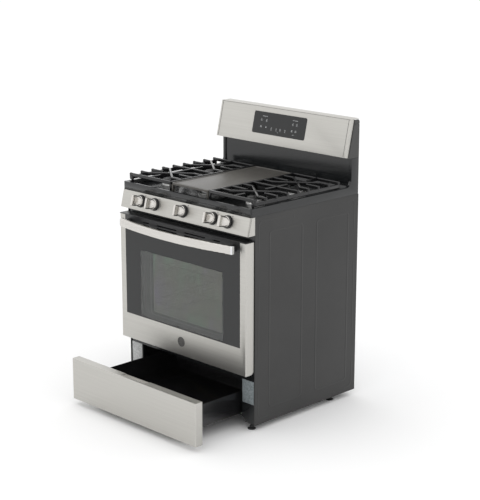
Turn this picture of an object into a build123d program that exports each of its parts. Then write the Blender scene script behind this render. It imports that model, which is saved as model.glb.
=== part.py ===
"""Freestanding gas range: cabinet, oven, door, storage drawer, cooktop and backguard.

X runs across the range, -Y is its front, +Z is up and the floor is Z = 0.
Every y given to a helper counts back from the cabinet's front plane, so that
depths read as they would on a drawing of the cabinet.
"""
import os
from build123d import *

os.makedirs("parts", exist_ok=True)

# Driving dimensions, in millimetres
WIDTH = 758.0  # over the side panels
HEIGHT = 1200.0  # floor to the top of the backguard
CABINET_DEPTH = 610.0
DRAWER_OUT = 273.0  # the drawer stands this far open at rest
DRAWER_FACE = -48.0  # the shut drawer's front face
SEAM_Z = 883.0  # where the cooktop sits on the cabinet
BASE_Z = 25.0  # lower edge of the cabinet
SHEET = 2.0  # thickness of pressed sheet
GAP = 0.3  # between parts that only lie beside each other

# The resting range, drawer open, is centred on Y = 0
FRONT_Y = -(CABINET_DEPTH + DRAWER_FACE - DRAWER_OUT) / 2

HALF = WIDTH / 2
PANEL_IN = HALF - 2.7  # inner face of a side panel
OVEN_X, OVEN_DEPTH = 300.0, 480.5  # oven cavity, half width and depth
OVEN_Z0, OVEN_Z1 = 298.0, 765.5
HINGE_Y, HINGE_Z = -12.0, 258.0  # the oven door's hinge line
HINGE_X = 350.0
DOOR_FRONT, DOOR_BACK = -47.0, -3.0
DOOR_X = 376.0
DOOR_Z0, DOOR_Z1 = 243.0, 787.0
GLASS_X, GLASS_Z0, GLASS_Z1 = 343.0, 354.0, 745.0
BOX_X, BOX_Z0, BOX_Z1 = 295.0, 56.0, 150.0  # drawer box
DECK_Z = 895.0  # floor of the cooktop's well
RIM_Z = 917.0
GRATE_Z = 950.0
BURNER_X = 250.0
BURNER_Y = (131.0, 373.0)
ROW = 60.5  # pitch of the grate's fingers
BURNERS = [(side * BURNER_X, y) for side in (-1, 1) for y in BURNER_Y]
CENTRE_BURNER_Y = 205.0
OVAL_LENGTH, OVAL_WIDTH = 276.0, 60.0  # centre burner
IGNITERS = [(x, y + 46) for x, y in BURNERS] + [(0, CENTRE_BURNER_Y + OVAL_LENGTH / 2 + 10)]
KNOB_X = (-258.0, -173.0, 0.0, 173.0, 258.0)
KNOB_Z = 850.0
PANEL_TOP, PANEL_FOOT = (-22.0, 882.7), (-40.0, 811.0)  # control panel's face
FACE_LOW, FACE_HIGH = (519.0, 1045.0), (555.0, HEIGHT)  # backguard's face
INLET_X, INLET_Z = 300.0, 120.0
GLAND_X, GLAND_Z = -300.0, 150.0
LEG_X, LEG_Y = 346.0, (18.0, 488.0)
RACK_LEVELS = (340.0, 400.0, 460.0, 520.0, 580.0, 640.0)
FLUE_X, FLUE_Z0, FLUE_Z1 = 40.0, 700.0, 730.0
LAMP = (-200.0, 690.0)
BAKE_X, BAKE_Z, BROIL_Z = 120.0, 309.0, 745.0


def block(x, y, z, mode=Mode.ADD):
    """An upright box between pairs of x, y and z."""
    with Locations((sum(x) / 2, FRONT_Y + sum(y) / 2, sum(z) / 2)):
        Box(x[1] - x[0], y[1] - y[0], z[1] - z[0], mode=mode)


def pair(x, y, z, mode=Mode.ADD):
    """The same box on both sides of the range."""
    block(x, y, z, mode)
    block((-x[1], -x[0]), y, z, mode)


def along_x(outline, x, mode=Mode.ADD):
    """A side profile of (y, z) points, extruded between two x."""
    with BuildSketch(Plane.YZ.offset(x[0])) as section:
        with BuildLine():
            Polyline([(FRONT_Y + y, z) for y, z in outline], close=True)
        make_face()
    extrude(section.sketch, amount=x[1] - x[0], mode=mode)


def along_z(outline, z, mode=Mode.ADD):
    """A plan of (x, y) points, extruded between two z."""
    with BuildSketch(Plane.XY.offset(z[0])) as section:
        with BuildLine():
            Polyline([(x, FRONT_Y + y) for x, y in outline], close=True)
        make_face()
    extrude(section.sketch, amount=z[1] - z[0], mode=mode)


def rod(start, end, radius, mode=Mode.ADD):
    """A round bar between two points given as (x, y, z)."""
    foot = Vector(start[0], FRONT_Y + start[1], start[2])
    run = Vector(end[0], FRONT_Y + end[1], end[2]) - foot
    with BuildSketch(Plane(origin=foot, z_dir=run)) as section:
        Circle(radius)
    extrude(section.sketch, amount=run.length, mode=mode)


def finger(start, end):
    """A straight cast bar with round ends, drawn in the sketch that is open."""
    a = Vector(start[0], FRONT_Y + start[1])
    b = Vector(end[0], FRONT_Y + end[1])
    with Locations((a + b) * 0.5):
        SlotCenterToCenter((b - a).length, BAR, rotation=Vector(1, 0).get_signed_angle(b - a))


def keep(piece, label):
    """Label a finished piece and write it as one STEP file."""
    piece.part.label = label
    export_step(piece.part, f"parts/{label}.step")


# ---- Cabinet ---------------------------------------------------------------

RAIL_Z = 51.0  # top of the drawer rails' ledges

with BuildPart() as base_frame:
    pair((318, 376), (8, 598), (BASE_Z, 28))
    pair((373, 376), (8, 598), (28, 62))
    block((-373, 373), (592, 595), (28, 62))
    block((-373, 373), (560, 595), (BASE_Z, 28))
    block((-373, 373), (460, 516), (BASE_Z, 28))
    block((-373, 373), (50, 90), (BASE_Z, 28))
    pair((284, 300), (9, 594), (RAIL_Z - 3, RAIL_Z))
    pair((297, 300), (9, 594), (RAIL_Z, 76))
    pair((284, 320), (60, 80), (28, RAIL_Z - 3))
    pair((284, 320), (550, 570), (28, RAIL_Z - 3))
    for side in (-1, 1):
        for y in LEG_Y:
            rod((side * LEG_X, y, 20), (side * LEG_X, y, 30), 6.08, Mode.SUBTRACT)
keep(base_frame, "base_frame")

with BuildPart() as drawer_glides:
    pair((285, 295), (10, 28), (RAIL_Z, BOX_Z0 - GAP))
keep(drawer_glides, "drawer_glides")


def side_panel(side, label):
    """A side sheet with two raised bead loops and a folded rear edge."""
    outer = side * (HALF - 0.8)
    inner = side * PANEL_IN
    with BuildPart() as panel:
        block(sorted((inner, outer)), (0, CABINET_DEPTH), (BASE_Z, SEAM_Z - GAP))
        block(sorted((side * 350, inner)), (605, 607), (62, 880))
        for y, width in ((176, 188), (452, 192)):
            with BuildSketch(Plane.YZ.offset(outer)) as bead:
                with Locations((FRONT_Y + y, 450)):
                    RectangleRounded(width, 728, 16)
                    RectangleRounded(width - 10, 718, 11, mode=Mode.SUBTRACT)
            extrude(bead.sketch, amount=side * 0.8)
    keep(panel, label)


side_panel(-1, "side_panel_left")
side_panel(1, "side_panel_right")

with BuildPart() as rear_cover:
    block((-349.7, 349.7), (605, 607), (62, 880))
    for row in range(6):
        pair((60, 200), (604, 608), (700 + 22 * row, 706 + 22 * row), Mode.SUBTRACT)
    rod((INLET_X, 600, INLET_Z), (INLET_X, 610, INLET_Z), 24, Mode.SUBTRACT)
    rod((GLAND_X, 600, GLAND_Z), (GLAND_X, 610, GLAND_Z), 9, Mode.SUBTRACT)
    block((-374, 374), (606.3, 608), (886, 1190))
    for row in range(3):
        pair((60, 300), (606, 609), (1080 + 30 * row, 1086 + 30 * row), Mode.SUBTRACT)
keep(rear_cover, "rear_cover")

with BuildPart() as strain_relief:
    rod((GLAND_X, 607, GLAND_Z), (GLAND_X, 609.6, GLAND_Z), 13)
    rod((GLAND_X, 598, GLAND_Z), (GLAND_X, 607, GLAND_Z), 8.7)
    rod((GLAND_X, 597, GLAND_Z), (GLAND_X, 611, GLAND_Z), 4.5, Mode.SUBTRACT)
keep(strain_relief, "strain_relief")

FRAME = (4.0, 6.0)
FRAME_TOP = 808.0
DRAWER_HEAD = 207.0
LEG_IN = 302.0

with BuildPart() as front_frame:
    block((-376, 376), (FRAME[0], 30), (BASE_Z, FRAME_TOP))
    block((-374, 374), (FRAME[1], 31), (BASE_Z - 1, FRAME_TOP - SHEET), Mode.SUBTRACT)
    pair((373, 377), (7.7, 31), (BASE_Z - 1, 64), Mode.SUBTRACT)
    pair((LEG_IN - 1, LEG_IN + 2), (4.5, 28), (78, DRAWER_HEAD + 1))
    block((-LEG_IN - 1, LEG_IN + 1), (4.5, 22), (DRAWER_HEAD - 1, DRAWER_HEAD + 2))
    block((-LEG_IN, LEG_IN), (3, 40), (0, DRAWER_HEAD), Mode.SUBTRACT)
    block((-OVEN_X, OVEN_X), (3, 7), (OVEN_Z0, OVEN_Z1), Mode.SUBTRACT)
    pair((HINGE_X - 7, HINGE_X + 7), (3, 7), (246, 272), Mode.SUBTRACT)
    for side in (-1, 1):
        with BuildSketch(Plane.XZ.offset(-FRONT_Y - 3)) as corner:
            with BuildLine():
                Polyline(
                    (side * 301, BASE_Z - 1), (side * 340, BASE_Z - 1), (side * 301, 52), close=True
                )
            make_face()
        extrude(corner.sketch, amount=-6, mode=Mode.SUBTRACT)
keep(front_frame, "front_frame")

with BuildPart() as label_plates:
    pair((307, 371), (FRAME[0] - 0.8, FRAME[0]), (110, DRAWER_HEAD))
keep(label_plates, "label_plates")

# The receivers hold the hinge arms, whose front ends carry the door's pins
with BuildPart() as hinge_receivers:
    pair((HINGE_X - 8, HINGE_X + 8), (6.3, 78), (238, 280))
    pair((HINGE_X - 5, HINGE_X + 5), (6, 76), (242, 276), Mode.SUBTRACT)
    for side in (-1, 1):
        inner, outer = sorted((side * (HINGE_X - 3), side * (HINGE_X + 3)))
        block((inner, outer), (HINGE_Y, 74), (HINGE_Z - 7, HINGE_Z + 7))
        rod((inner, HINGE_Y, HINGE_Z), (outer, HINGE_Y, HINGE_Z), 7)
        rod((inner - 1, HINGE_Y, HINGE_Z), (outer + 1, HINGE_Y, HINGE_Z), 4.06, Mode.SUBTRACT)
        rod((side * HINGE_X - 6, 60, HINGE_Z), (side * HINGE_X + 6, 60, HINGE_Z), 3)
keep(hinge_receivers, "hinge_receivers")

# ---- Oven ------------------------------------------------------------------

with BuildPart() as oven_liner:
    block((-OVEN_X - 1.5, OVEN_X + 1.5), (6.3, 482), (OVEN_Z0 - 1.5, OVEN_Z1 + 1.5))
    block((-OVEN_X - 8, OVEN_X + 8), (6.3, 7.8), (OVEN_Z0 - 8, OVEN_Z1 + 8))
    block((-OVEN_X, OVEN_X), (5, OVEN_DEPTH), (OVEN_Z0, OVEN_Z1), Mode.SUBTRACT)
    for level in RACK_LEVELS:
        pair((OVEN_X - 9, OVEN_X), (25, 455), (level, level + 3))
        pair((OVEN_X - 9, OVEN_X), (25, 455), (level + 14, level + 16))
    rod((BAKE_X, 478, BAKE_Z), (BAKE_X, 485, BAKE_Z), 9, Mode.SUBTRACT)
    rod((0, 478, BROIL_Z), (0, 485, BROIL_Z), 9, Mode.SUBTRACT)
    rod((LAMP[0], 478, LAMP[1]), (LAMP[0], 485, LAMP[1]), 24, Mode.SUBTRACT)
    block((-FLUE_X - 1, FLUE_X + 1), (478, 485), (FLUE_Z0 - 1, FLUE_Z1 + 1), Mode.SUBTRACT)
keep(oven_liner, "oven_liner")

with BuildPart() as oven_floor:
    block((-298, 298), (12, 470), (321, 323))
    block((-298, 298), (12, 14), (OVEN_Z0, 321))
    pair((296, 298), (14, 470), (OVEN_Z0, 321))
    for place in range(9):
        y = 50 + 45 * place
        pair((262, 284), (y, y + 8), (320, 324), Mode.SUBTRACT)
keep(oven_floor, "oven_floor")

with BuildPart() as oven_insulation:
    block((-334, 334), (8.5, 515), (268, 797))
    block((-302, 302), (7, 483), (296, 768), Mode.SUBTRACT)
    block((-309, 309), (8, 9), (289, 775), Mode.SUBTRACT)
    rod((BAKE_X, 480, BAKE_Z), (BAKE_X, 520, BAKE_Z), 9, Mode.SUBTRACT)
    rod((0, 480, BROIL_Z), (0, 520, BROIL_Z), 9, Mode.SUBTRACT)
    rod((LAMP[0], 480, LAMP[1]), (LAMP[0], 520, LAMP[1]), 24, Mode.SUBTRACT)
    block((-FLUE_X - 1, FLUE_X + 1), (480, 520), (FLUE_Z0 - 1, FLUE_Z1 + 1), Mode.SUBTRACT)
keep(oven_insulation, "oven_insulation")

with BuildPart() as oven_burners:
    rod((BAKE_X, 60, BAKE_Z), (BAKE_X, 530, BAKE_Z), 8)
    rod((-BAKE_X, 60, BAKE_Z), (BAKE_X, 60, BAKE_Z), 8)
    rod((-BAKE_X, 60, BAKE_Z), (-BAKE_X, 400, BAKE_Z), 8)
    for x in (-90, 90):
        rod((x, 100, BROIL_Z), (x, 400, BROIL_Z), 7)
    rod((-97, 100, BROIL_Z), (97, 100, BROIL_Z), 7)
    rod((-97, 400, BROIL_Z), (97, 400, BROIL_Z), 7)
    rod((0, 400, BROIL_Z), (0, 530, BROIL_Z), 7)
    pair((100, 110), (110, 130), (BROIL_Z - 2, OVEN_Z1))
    pair((100, 110), (370, 390), (BROIL_Z - 2, OVEN_Z1))
    pair((90, 110), (110, 112), (BROIL_Z - 2, BROIL_Z + 4))
    pair((90, 110), (388, 390), (BROIL_Z - 2, BROIL_Z + 4))
keep(oven_burners, "oven_burners")

with BuildPart() as oven_lamp:
    rod((LAMP[0], 470, LAMP[1]), (LAMP[0], 522, LAMP[1]), 20)
    rod((LAMP[0], 476, LAMP[1]), (LAMP[0], OVEN_DEPTH, LAMP[1]), 28)
keep(oven_lamp, "oven_lamp")

with BuildPart() as igniters:
    for x, y in IGNITERS:
        rod((x, y, 880), (x, y, 912), 3.5)
    block((BAKE_X - 24, BAKE_X - 10), (300, 360), (BAKE_Z - 8, BAKE_Z + 8))
    block((66, 80), (300, 360), (BROIL_Z - 6, OVEN_Z1))
keep(igniters, "igniters")

with BuildPart() as flue_duct:
    block((-FLUE_X, FLUE_X), (481, 576), (FLUE_Z0, FLUE_Z1))
    block((-60, 60), (576, 600), (FLUE_Z0 - 10, 1020))
    block((-58, 58), (578, 598), (FLUE_Z0 - 8, 1021), Mode.SUBTRACT)
    block((-FLUE_X + 2, FLUE_X - 2), (480, 579), (FLUE_Z0 + 2, FLUE_Z1 - 2), Mode.SUBTRACT)
keep(flue_duct, "flue_duct")

with BuildPart() as door_gasket:
    with BuildSketch(Plane.XZ.offset(-FRONT_Y + 2.4)) as ring:
        with Locations((0, (OVEN_Z0 + OVEN_Z1) / 2)):
            RectangleRounded(646, 492, 22)
            RectangleRounded(624, 470, 12, mode=Mode.SUBTRACT)
    extrude(ring.sketch, amount=-(2.4 + FRAME[0]))
keep(door_gasket, "door_gasket")

# ---- Cooktop and gas -------------------------------------------------------

SKIRT = -22.0  # front face of the cooktop's lip
EAR = 562.0  # front edge of the upswept sides
REAR = 606.0  # back of the cooktop

with BuildPart() as cooktop:
    block((-HALF, HALF), (SKIRT, REAR), (SEAM_Z, RIM_Z))
    with BuildSketch(Plane.YZ.offset(-HALF)) as ear:
        with BuildLine():
            up = FRONT_Y + EAR
            Line((up - 30, 900), (up - 30, RIM_Z))
            RadiusArc((up - 30, RIM_Z), (up, RIM_Z + 30), -30)
            Polyline((up, RIM_Z + 30), (up, 1037), (FRONT_Y + REAR, 1037), (FRONT_Y + REAR, 900))
            Line((FRONT_Y + REAR, 900), (up - 30, 900))
        make_face()
    extrude(ear.sketch, amount=WIDTH)
    fillet(cooktop.edges().filter_by(Axis.Z).group_by(Axis.Y)[0], 8)
    with BuildSketch(Plane.YZ.offset(-365)) as well:
        with BuildLine():
            wall = FRONT_Y + 568
            Line((FRONT_Y - 9, 1060), (FRONT_Y - 9, DECK_Z))
            Line((FRONT_Y - 9, DECK_Z), (wall - 34, DECK_Z))
            RadiusArc((wall - 34, DECK_Z), (wall, DECK_Z + 34), -34)
            Line((wall, DECK_Z + 34), (wall, 1060))
            Line((wall, 1060), (FRONT_Y - 9, 1060))
        make_face()
    extrude(well.sketch, amount=730, mode=Mode.SUBTRACT)
    block((-377, 377), (-20, REAR - 2), (SEAM_Z - 1, DECK_Z - 2), Mode.SUBTRACT)
    block((-377, 377), (-20, -11), (DECK_Z - 3, RIM_Z - 2), Mode.SUBTRACT)
    pair((367, 377), (-20, 560), (DECK_Z - 3, RIM_Z - 2), Mode.SUBTRACT)
    block((-374.5, 374.5), (572, 610), (DECK_Z - 3, 1035), Mode.SUBTRACT)
    for x, y in BURNERS:
        rod((x, y, 890), (x, y, 900), 27, Mode.SUBTRACT)
    for x, y in IGNITERS:
        rod((x, y, 890), (x, y, 900), 4, Mode.SUBTRACT)
    with Locations((0, FRONT_Y + CENTRE_BURNER_Y, DECK_Z)):
        Box(44, 120, 10, mode=Mode.SUBTRACT)
keep(cooktop, "cooktop")

with BuildPart() as burner_heads:
    for x, y in BURNERS:
        rod((x, y, 876), (x, y, DECK_Z), 26.5)
        rod((x, y, DECK_Z), (x, y, 903), 38)
        rod((x, y, 903), (x, y, 918), 30)
    with BuildSketch(Plane.XY.offset(876)) as cup:
        with Locations((0, FRONT_Y + CENTRE_BURNER_Y)):
            Rectangle(43, 119)
    extrude(cup.sketch, amount=DECK_Z - 876)
    for z0, z1, rim in ((DECK_Z, 903, 0), (903, 918, 6)):
        with BuildSketch(Plane.XY.offset(z0)) as oval:
            with Locations((0, FRONT_Y + CENTRE_BURNER_Y)):
                SlotOverall(OVAL_LENGTH - 2 * rim, OVAL_WIDTH - 2 * rim, rotation=90)
        extrude(oval.sketch, amount=z1 - z0)
keep(burner_heads, "burner_heads")

with BuildPart() as burner_caps:
    for x, y in BURNERS:
        rod((x, y, 918), (x, y, 925), 34)
    with BuildSketch(Plane.XY.offset(918)) as oval:
        with Locations((0, FRONT_Y + CENTRE_BURNER_Y)):
            SlotOverall(OVAL_LENGTH - 4, OVAL_WIDTH - 4, rotation=90)
    extrude(oval.sketch, amount=7)
keep(burner_caps, "burner_caps")

# The control panel's face slopes, and each knob's axis is square to it
FACE_Y = PANEL_FOOT[0] + (KNOB_Z - PANEL_FOOT[1]) / (PANEL_TOP[1] - PANEL_FOOT[1]) * (
    PANEL_TOP[0] - PANEL_FOOT[0]
)
KNOB_AXIS = Vector(0, PANEL_FOOT[1] - PANEL_TOP[1], PANEL_TOP[0] - PANEL_FOOT[0]).normalized()
MANIFOLD_BACK = 52.0  # manifold's centre line behind the panel's face


def knob_plane(x, out):
    """The plane square to a knob's axis, a distance out from the panel's face."""
    return Plane(
        origin=Vector(x, FRONT_Y + FACE_Y, KNOB_Z) + KNOB_AXIS * out,
        x_dir=(1, 0, 0),
        z_dir=KNOB_AXIS,
    )


def knob_disc(x, start, end, radius, bore=0.0, mode=Mode.ADD):
    """A disc or ring about a knob's axis between two distances from the face."""
    with BuildSketch(knob_plane(x, start)) as disc:
        Circle(radius)
        if bore:
            Circle(bore, mode=Mode.SUBTRACT)
    extrude(disc.sketch, amount=end - start, mode=mode)


with BuildPart() as control_panel:
    top_y, top_z = PANEL_TOP
    foot_y, foot_z = PANEL_FOOT
    along_x(
        [
            (top_y, top_z),
            (foot_y, foot_z),
            (-6, foot_z),
            (-6, foot_z + SHEET),
            (foot_y + 2.5, foot_z + SHEET),
            (top_y + 1.6, top_z - SHEET),
            (2, top_z - SHEET),
            (2, top_z),
        ],
        (-376, 376),
    )
    for x in KNOB_X:
        knob_disc(x, -8, 4, 7, mode=Mode.SUBTRACT)
    cap = [(top_y + 1.5, top_z), (foot_y + 1.5, foot_z), (-GAP, foot_z), (-GAP, top_z)]
    along_x(cap, (376.2, HALF))
    along_x(cap, (-HALF, -376.2))
keep(control_panel, "control_panel")

with BuildPart() as gas_manifold:
    pipe_y = FACE_Y - KNOB_AXIS.Y * MANIFOLD_BACK
    pipe_z = KNOB_Z - KNOB_AXIS.Z * MANIFOLD_BACK
    rod((-290, pipe_y, pipe_z), (345, pipe_y, pipe_z), 9)
    rod((345, pipe_y, pipe_z), (345, 560, pipe_z), 7)
    rod((345, 560, pipe_z), (345, 560, INLET_Z), 7)
    rod((345, 560, INLET_Z), (325.5, 560, INLET_Z), 7)
    for x, y, z in ((345, pipe_y, pipe_z), (345, 560, pipe_z), (345, 560, INLET_Z)):
        with Locations((x, FRONT_Y + y, z)):
            Sphere(9)
keep(gas_manifold, "gas_manifold")

INLET_BORE = 9.3

with BuildPart() as pressure_regulator:
    block((275, 325), (545, 592), (INLET_Z - 22, INLET_Z + 22))
    rod((300, 568, INLET_Z + 22), (300, 568, INLET_Z + 40), 18)
    rod((INLET_X, 590, INLET_Z), (INLET_X, 606, INLET_Z), 14)
    rod((INLET_X, 591, INLET_Z), (INLET_X, 607, INLET_Z), INLET_BORE, Mode.SUBTRACT)
keep(pressure_regulator, "pressure_regulator")

STEM = 4.0

with BuildPart() as burner_valves:
    for x in KNOB_X:
        knob_disc(x, -42.8, -14, 12)
        knob_disc(x, -23, -13, 8.3, mode=Mode.SUBTRACT)
        knob_disc(x, -32, -22, STEM + 0.3, mode=Mode.SUBTRACT)
keep(burner_valves, "burner_valves")

with BuildPart() as burner_tubes:
    targets = (BURNERS[0], BURNERS[1], (0, CENTRE_BURNER_Y), BURNERS[3], BURNERS[2])
    for x, (end_x, end_y) in zip(KNOB_X, targets):
        rod((x, 12, 862), (end_x, end_y, 871.5), 3.5)
keep(burner_tubes, "burner_tubes")

KNOB_BODY, KNOB_OUT = 16.0, 53.0  # face of the knob's disc and of its grip
GRIP = (11.0, 45.0, 4.5)  # width, height and corner radius of the grip bar
KNOB_NAMES = ("left_front", "left_rear", "centre", "right_rear", "right_front")
for x, place in zip(KNOB_X, KNOB_NAMES):
    with BuildPart() as valve_collar:
        knob_disc(x, -19, -15, 8, bore=STEM + 0.06)
    keep(valve_collar, f"valve_collar_{place}")
    with BuildPart() as knob:
        knob_disc(x, 4.2, 10, 24.5)
        knob_disc(x, 10, KNOB_BODY, 22.5)
        with BuildSketch(knob_plane(x, KNOB_BODY)) as grip:
            RectangleRounded(*GRIP)
        extrude(grip.sketch, amount=KNOB_OUT - KNOB_BODY)
        knob_disc(x, -22, 4.2, STEM)
    keep(knob, f"knob_{place}")

# ---- Grates and griddle ----------------------------------------------------

BAR = 10.0
GRATE_IN, GRATE_OUT = 117.0, 367.0  # centre lines of a grate's side bars
GRATE_BAR_Z, SIDE_BAR_Z = 936.0, 922.0  # undersides of the fingers and the side bar
ELBOW, STUB = 75.0, 55.0  # fingers turn and stop this far from the burner
FRONT_BAR_Y, REAR_BAR_Y = 10.0, 494.0


def grate(side, label):
    """A cast grate over two burners; diagonal fingers cross above each one."""
    inner, outer, mid = side * GRATE_IN, side * GRATE_OUT, side * BURNER_X
    with BuildPart() as casting:
        with BuildSketch(Plane.XY.offset(GRATE_BAR_Z)):
            for y in (FRONT_BAR_Y, (FRONT_BAR_Y + REAR_BAR_Y) / 2, REAR_BAR_Y):
                finger((inner, y), (outer, y))
            finger((inner, FRONT_BAR_Y), (inner, REAR_BAR_Y))
            for y in BURNER_Y:
                for turn in (-1, 1):
                    row = y + turn * ROW
                    back = y - turn * ROW
                    finger((inner, row), (mid - side * ELBOW, row))
                    finger((mid - side * ELBOW, row), (mid + side * ELBOW, back))
                    finger((mid + side * ELBOW, row), (outer, row))
                    finger((mid, y + turn * 2 * ROW), (mid, y + turn * 62))
                finger((inner, y), (mid - side * STUB, y))
                finger((mid + side * STUB, y), (outer, y))
        extrude(amount=GRATE_Z - GRATE_BAR_Z)
        with BuildSketch(Plane.XY.offset(SIDE_BAR_Z)):
            finger((outer, FRONT_BAR_Y), (outer, REAR_BAR_Y))
        extrude(amount=GRATE_BAR_Z - SIDE_BAR_Z + 1)
        for x in (inner, outer - side * 10):
            for y in (FRONT_BAR_Y, REAR_BAR_Y):
                rod((x, y, DECK_Z + GAP), (x, y, GRATE_BAR_Z + 4), 4.5)
    keep(casting, label)


grate(-1, "grate_left")
grate(1, "grate_right")

GRIDDLE_X = 109.0

with BuildPart() as griddle:
    block((-GRIDDLE_X, GRIDDLE_X), (6, 500), (937, 947))
    block((-GRIDDLE_X + 8, GRIDDLE_X - 8), (14, 492), (944.5, 948), Mode.SUBTRACT)
    pair((GRIDDLE_X - 9, GRIDDLE_X), (6, 18), (DECK_Z + GAP, 938))
    pair((GRIDDLE_X - 9, GRIDDLE_X), (488, 500), (DECK_Z + GAP, 938))
keep(griddle, "griddle")

# ---- Backguard -------------------------------------------------------------


def face_at(z):
    """Depth of the backguard's sloping face at a height."""
    (low_y, low_z), (high_y, high_z) = FACE_LOW, FACE_HIGH
    return low_y + (z - low_z) / (high_z - low_z) * (high_y - low_y)


TOUCH_X = (-165.0, 141.0)
TOUCH_Z = (1086.0, 1176.0)

with BuildPart() as backguard_panel:
    along_x(
        [
            FACE_LOW,
            FACE_HIGH,
            (603, HEIGHT),
            (603, HEIGHT - SHEET),
            (FACE_HIGH[0] + 1.6, HEIGHT - SHEET),
            (FACE_LOW[0] + 2.6, 1047),
            (540, 1043),
            (539.6, 1041),
        ],
        (-376.5, 376.5),
    )
    strip = [FACE_LOW, FACE_HIGH, (575, HEIGHT - 1), (539.6, 1041)]
    along_x(strip, (374.5, 376.5))
    along_x(strip, (-376.5, -374.5))
    block(TOUCH_X, (515, 552), TOUCH_Z, Mode.SUBTRACT)
keep(backguard_panel, "backguard_panel")

with BuildPart() as touch_glass:
    low, high = TOUCH_Z[0] + GAP, TOUCH_Z[1] - GAP
    along_x(
        [
            (face_at(low) + 0.2, low),
            (face_at(high) + 0.2, high),
            (face_at(high) + 4, high),
            (face_at(low) + 4, low),
        ],
        (TOUCH_X[0] + GAP, TOUCH_X[1] - GAP),
    )
keep(touch_glass, "touch_glass")

with BuildPart() as backguard_ends:
    cheek = [(541, 1040), (577, 1196), (598, 1196), (604, 1192), (606, 1186), (606, 1037.3), (562, 1037.3)]
    along_x(cheek, (376.8, HALF))
    along_x(cheek, (-HALF, -376.8))
keep(backguard_ends, "backguard_ends")

with BuildPart() as control_board:
    block((-150, 130), (572, 574), (1070, 1170))
    block((-140, -80), (574, 596), (1080, 1120))
    block((-40, 40), (562, 572), (1110, 1150))
keep(control_board, "control_board")

with BuildPart() as cabinet_screws:
    for side in (-1, 1):
        for place in range(5):
            z = 90 + 190 * place
            rod((side * 342, 607, z), (side * 342, 609, z), 4)
        for z in (910, 1060, 1180):
            rod((side * 366, 608, z), (side * 366, 609.5, z), 4)
keep(cabinet_screws, "cabinet_screws")

# ---- Oven door -------------------------------------------------------------

WINDOW_X, WINDOW_Z0, WINDOW_Z1 = 240.0, 372.0, 642.0
NOTCH = ((HINGE_X - 10, HINGE_X + 10), (-24, 0), (240, 271))

with BuildPart() as door_outer_panel:
    block((-DOOR_X, DOOR_X), (DOOR_FRONT, DOOR_BACK), (DOOR_Z0, 784))
    fillet(door_outer_panel.edges().filter_by(Axis.Z).group_by(Axis.Y)[0], 5)
    block((-374, 374), (-45, 0), (DOOR_Z0 + SHEET, 790), Mode.SUBTRACT)
    block((-GLASS_X, GLASS_X), (-50, -40), (GLASS_Z0, 790), Mode.SUBTRACT)
    along_x([(-14, 242), (-2, 242), (-2, 254)], (-380, 380), Mode.SUBTRACT)
    pair(*NOTCH, Mode.SUBTRACT)
keep(door_outer_panel, "door_outer_panel")

with BuildPart() as door_glass:
    block((-GLASS_X + GAP, GLASS_X - GAP), (-46.6, -42.6), (GLASS_Z0 + GAP, GLASS_Z1 - GAP))
keep(door_glass, "door_glass")

with BuildPart() as door_vent_trim:
    block((-GLASS_X + GAP, GLASS_X - GAP), (-46.6, -43), (GLASS_Z1, 784.3))
    block((-DOOR_X, DOOR_X), (-48.5, DOOR_BACK), (784.3, DOOR_Z1))
    for z in (755.5, 767.5):
        pair((23, 146), (-50, -40), (z - 2.5, z + 2.5), Mode.SUBTRACT)
        pair((193, 232), (-50, -40), (z - 2.5, z + 2.5), Mode.SUBTRACT)
keep(door_vent_trim, "door_vent_trim")

with BuildPart() as door_inner_panel:
    block((-370, 370), (-36, DOOR_BACK), (256, 781))
    block((-368.5, 368.5), (-37, DOOR_BACK - 1.5), (257.5, 779.5), Mode.SUBTRACT)
    block((-WINDOW_X, WINDOW_X), (-6, 0), (WINDOW_Z0, WINDOW_Z1), Mode.SUBTRACT)
    pair(*NOTCH, Mode.SUBTRACT)
keep(door_inner_panel, "door_inner_panel")

with BuildPart() as door_inner_glass:
    block((-WINDOW_X - 12, WINDOW_X + 12), (-8.6, -4.6), (WINDOW_Z0 - 12, WINDOW_Z1 + 12))
keep(door_inner_glass, "door_inner_glass")

# Each hinge leaf stands inside the door, and its pin runs in the arm's eye
with BuildPart() as door_hinges:
    for x in ((HINGE_X - 9, HINGE_X - 4.7), (HINGE_X + 4.7, HINGE_X + 9)):
        pair(x, (-20, -6), (250, 300))
    pair((HINGE_X - 9, HINGE_X + 9), (-20, -6), (290, 340))
    for side in (-1, 1):
        x = side * HINGE_X
        rod((x - 9, HINGE_Y, HINGE_Z), (x + 9, HINGE_Y, HINGE_Z), STEM)
keep(door_hinges, "door_hinges")

HANDLE_Z = (740.0, 774.0)
HANDLE_END = 333.0
HANDLE_BACK = 18.0  # thickness of the bowed bar

with BuildPart() as door_handle:
    with BuildSketch(Plane.XY.offset(HANDLE_Z[0])) as bow:
        with BuildLine():
            tip, crown = FRONT_Y - 86, FRONT_Y - 119
            ThreePointArc((-HANDLE_END, tip), (0, crown), (HANDLE_END, tip))
            Line((HANDLE_END, tip), (HANDLE_END, tip + HANDLE_BACK))
            ThreePointArc(
                (HANDLE_END, tip + HANDLE_BACK), (0, crown + HANDLE_BACK), (-HANDLE_END, tip + HANDLE_BACK)
            )
            Line((-HANDLE_END, tip + HANDLE_BACK), (-HANDLE_END, tip))
        make_face()
    extrude(bow.sketch, amount=HANDLE_Z[1] - HANDLE_Z[0])
    fillet(door_handle.edges().filter_by(GeomType.CIRCLE), 4)
keep(door_handle, "door_handle")

with BuildPart() as handle_brackets:
    for side in (-1, 1):
        post = [(300, -46.6), (324, -46.6), (324, -71), (300, -75.5)]
        along_z([(side * x, y) for x, y in post], (746, 768))
keep(handle_brackets, "handle_brackets")

with BuildPart() as door_badge:
    rod((0, DOOR_FRONT - 1.2, 301), (0, DOOR_FRONT, 301), 21)
keep(door_badge, "door_badge")

# ---- Drawer, standing open -------------------------------------------------


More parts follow.
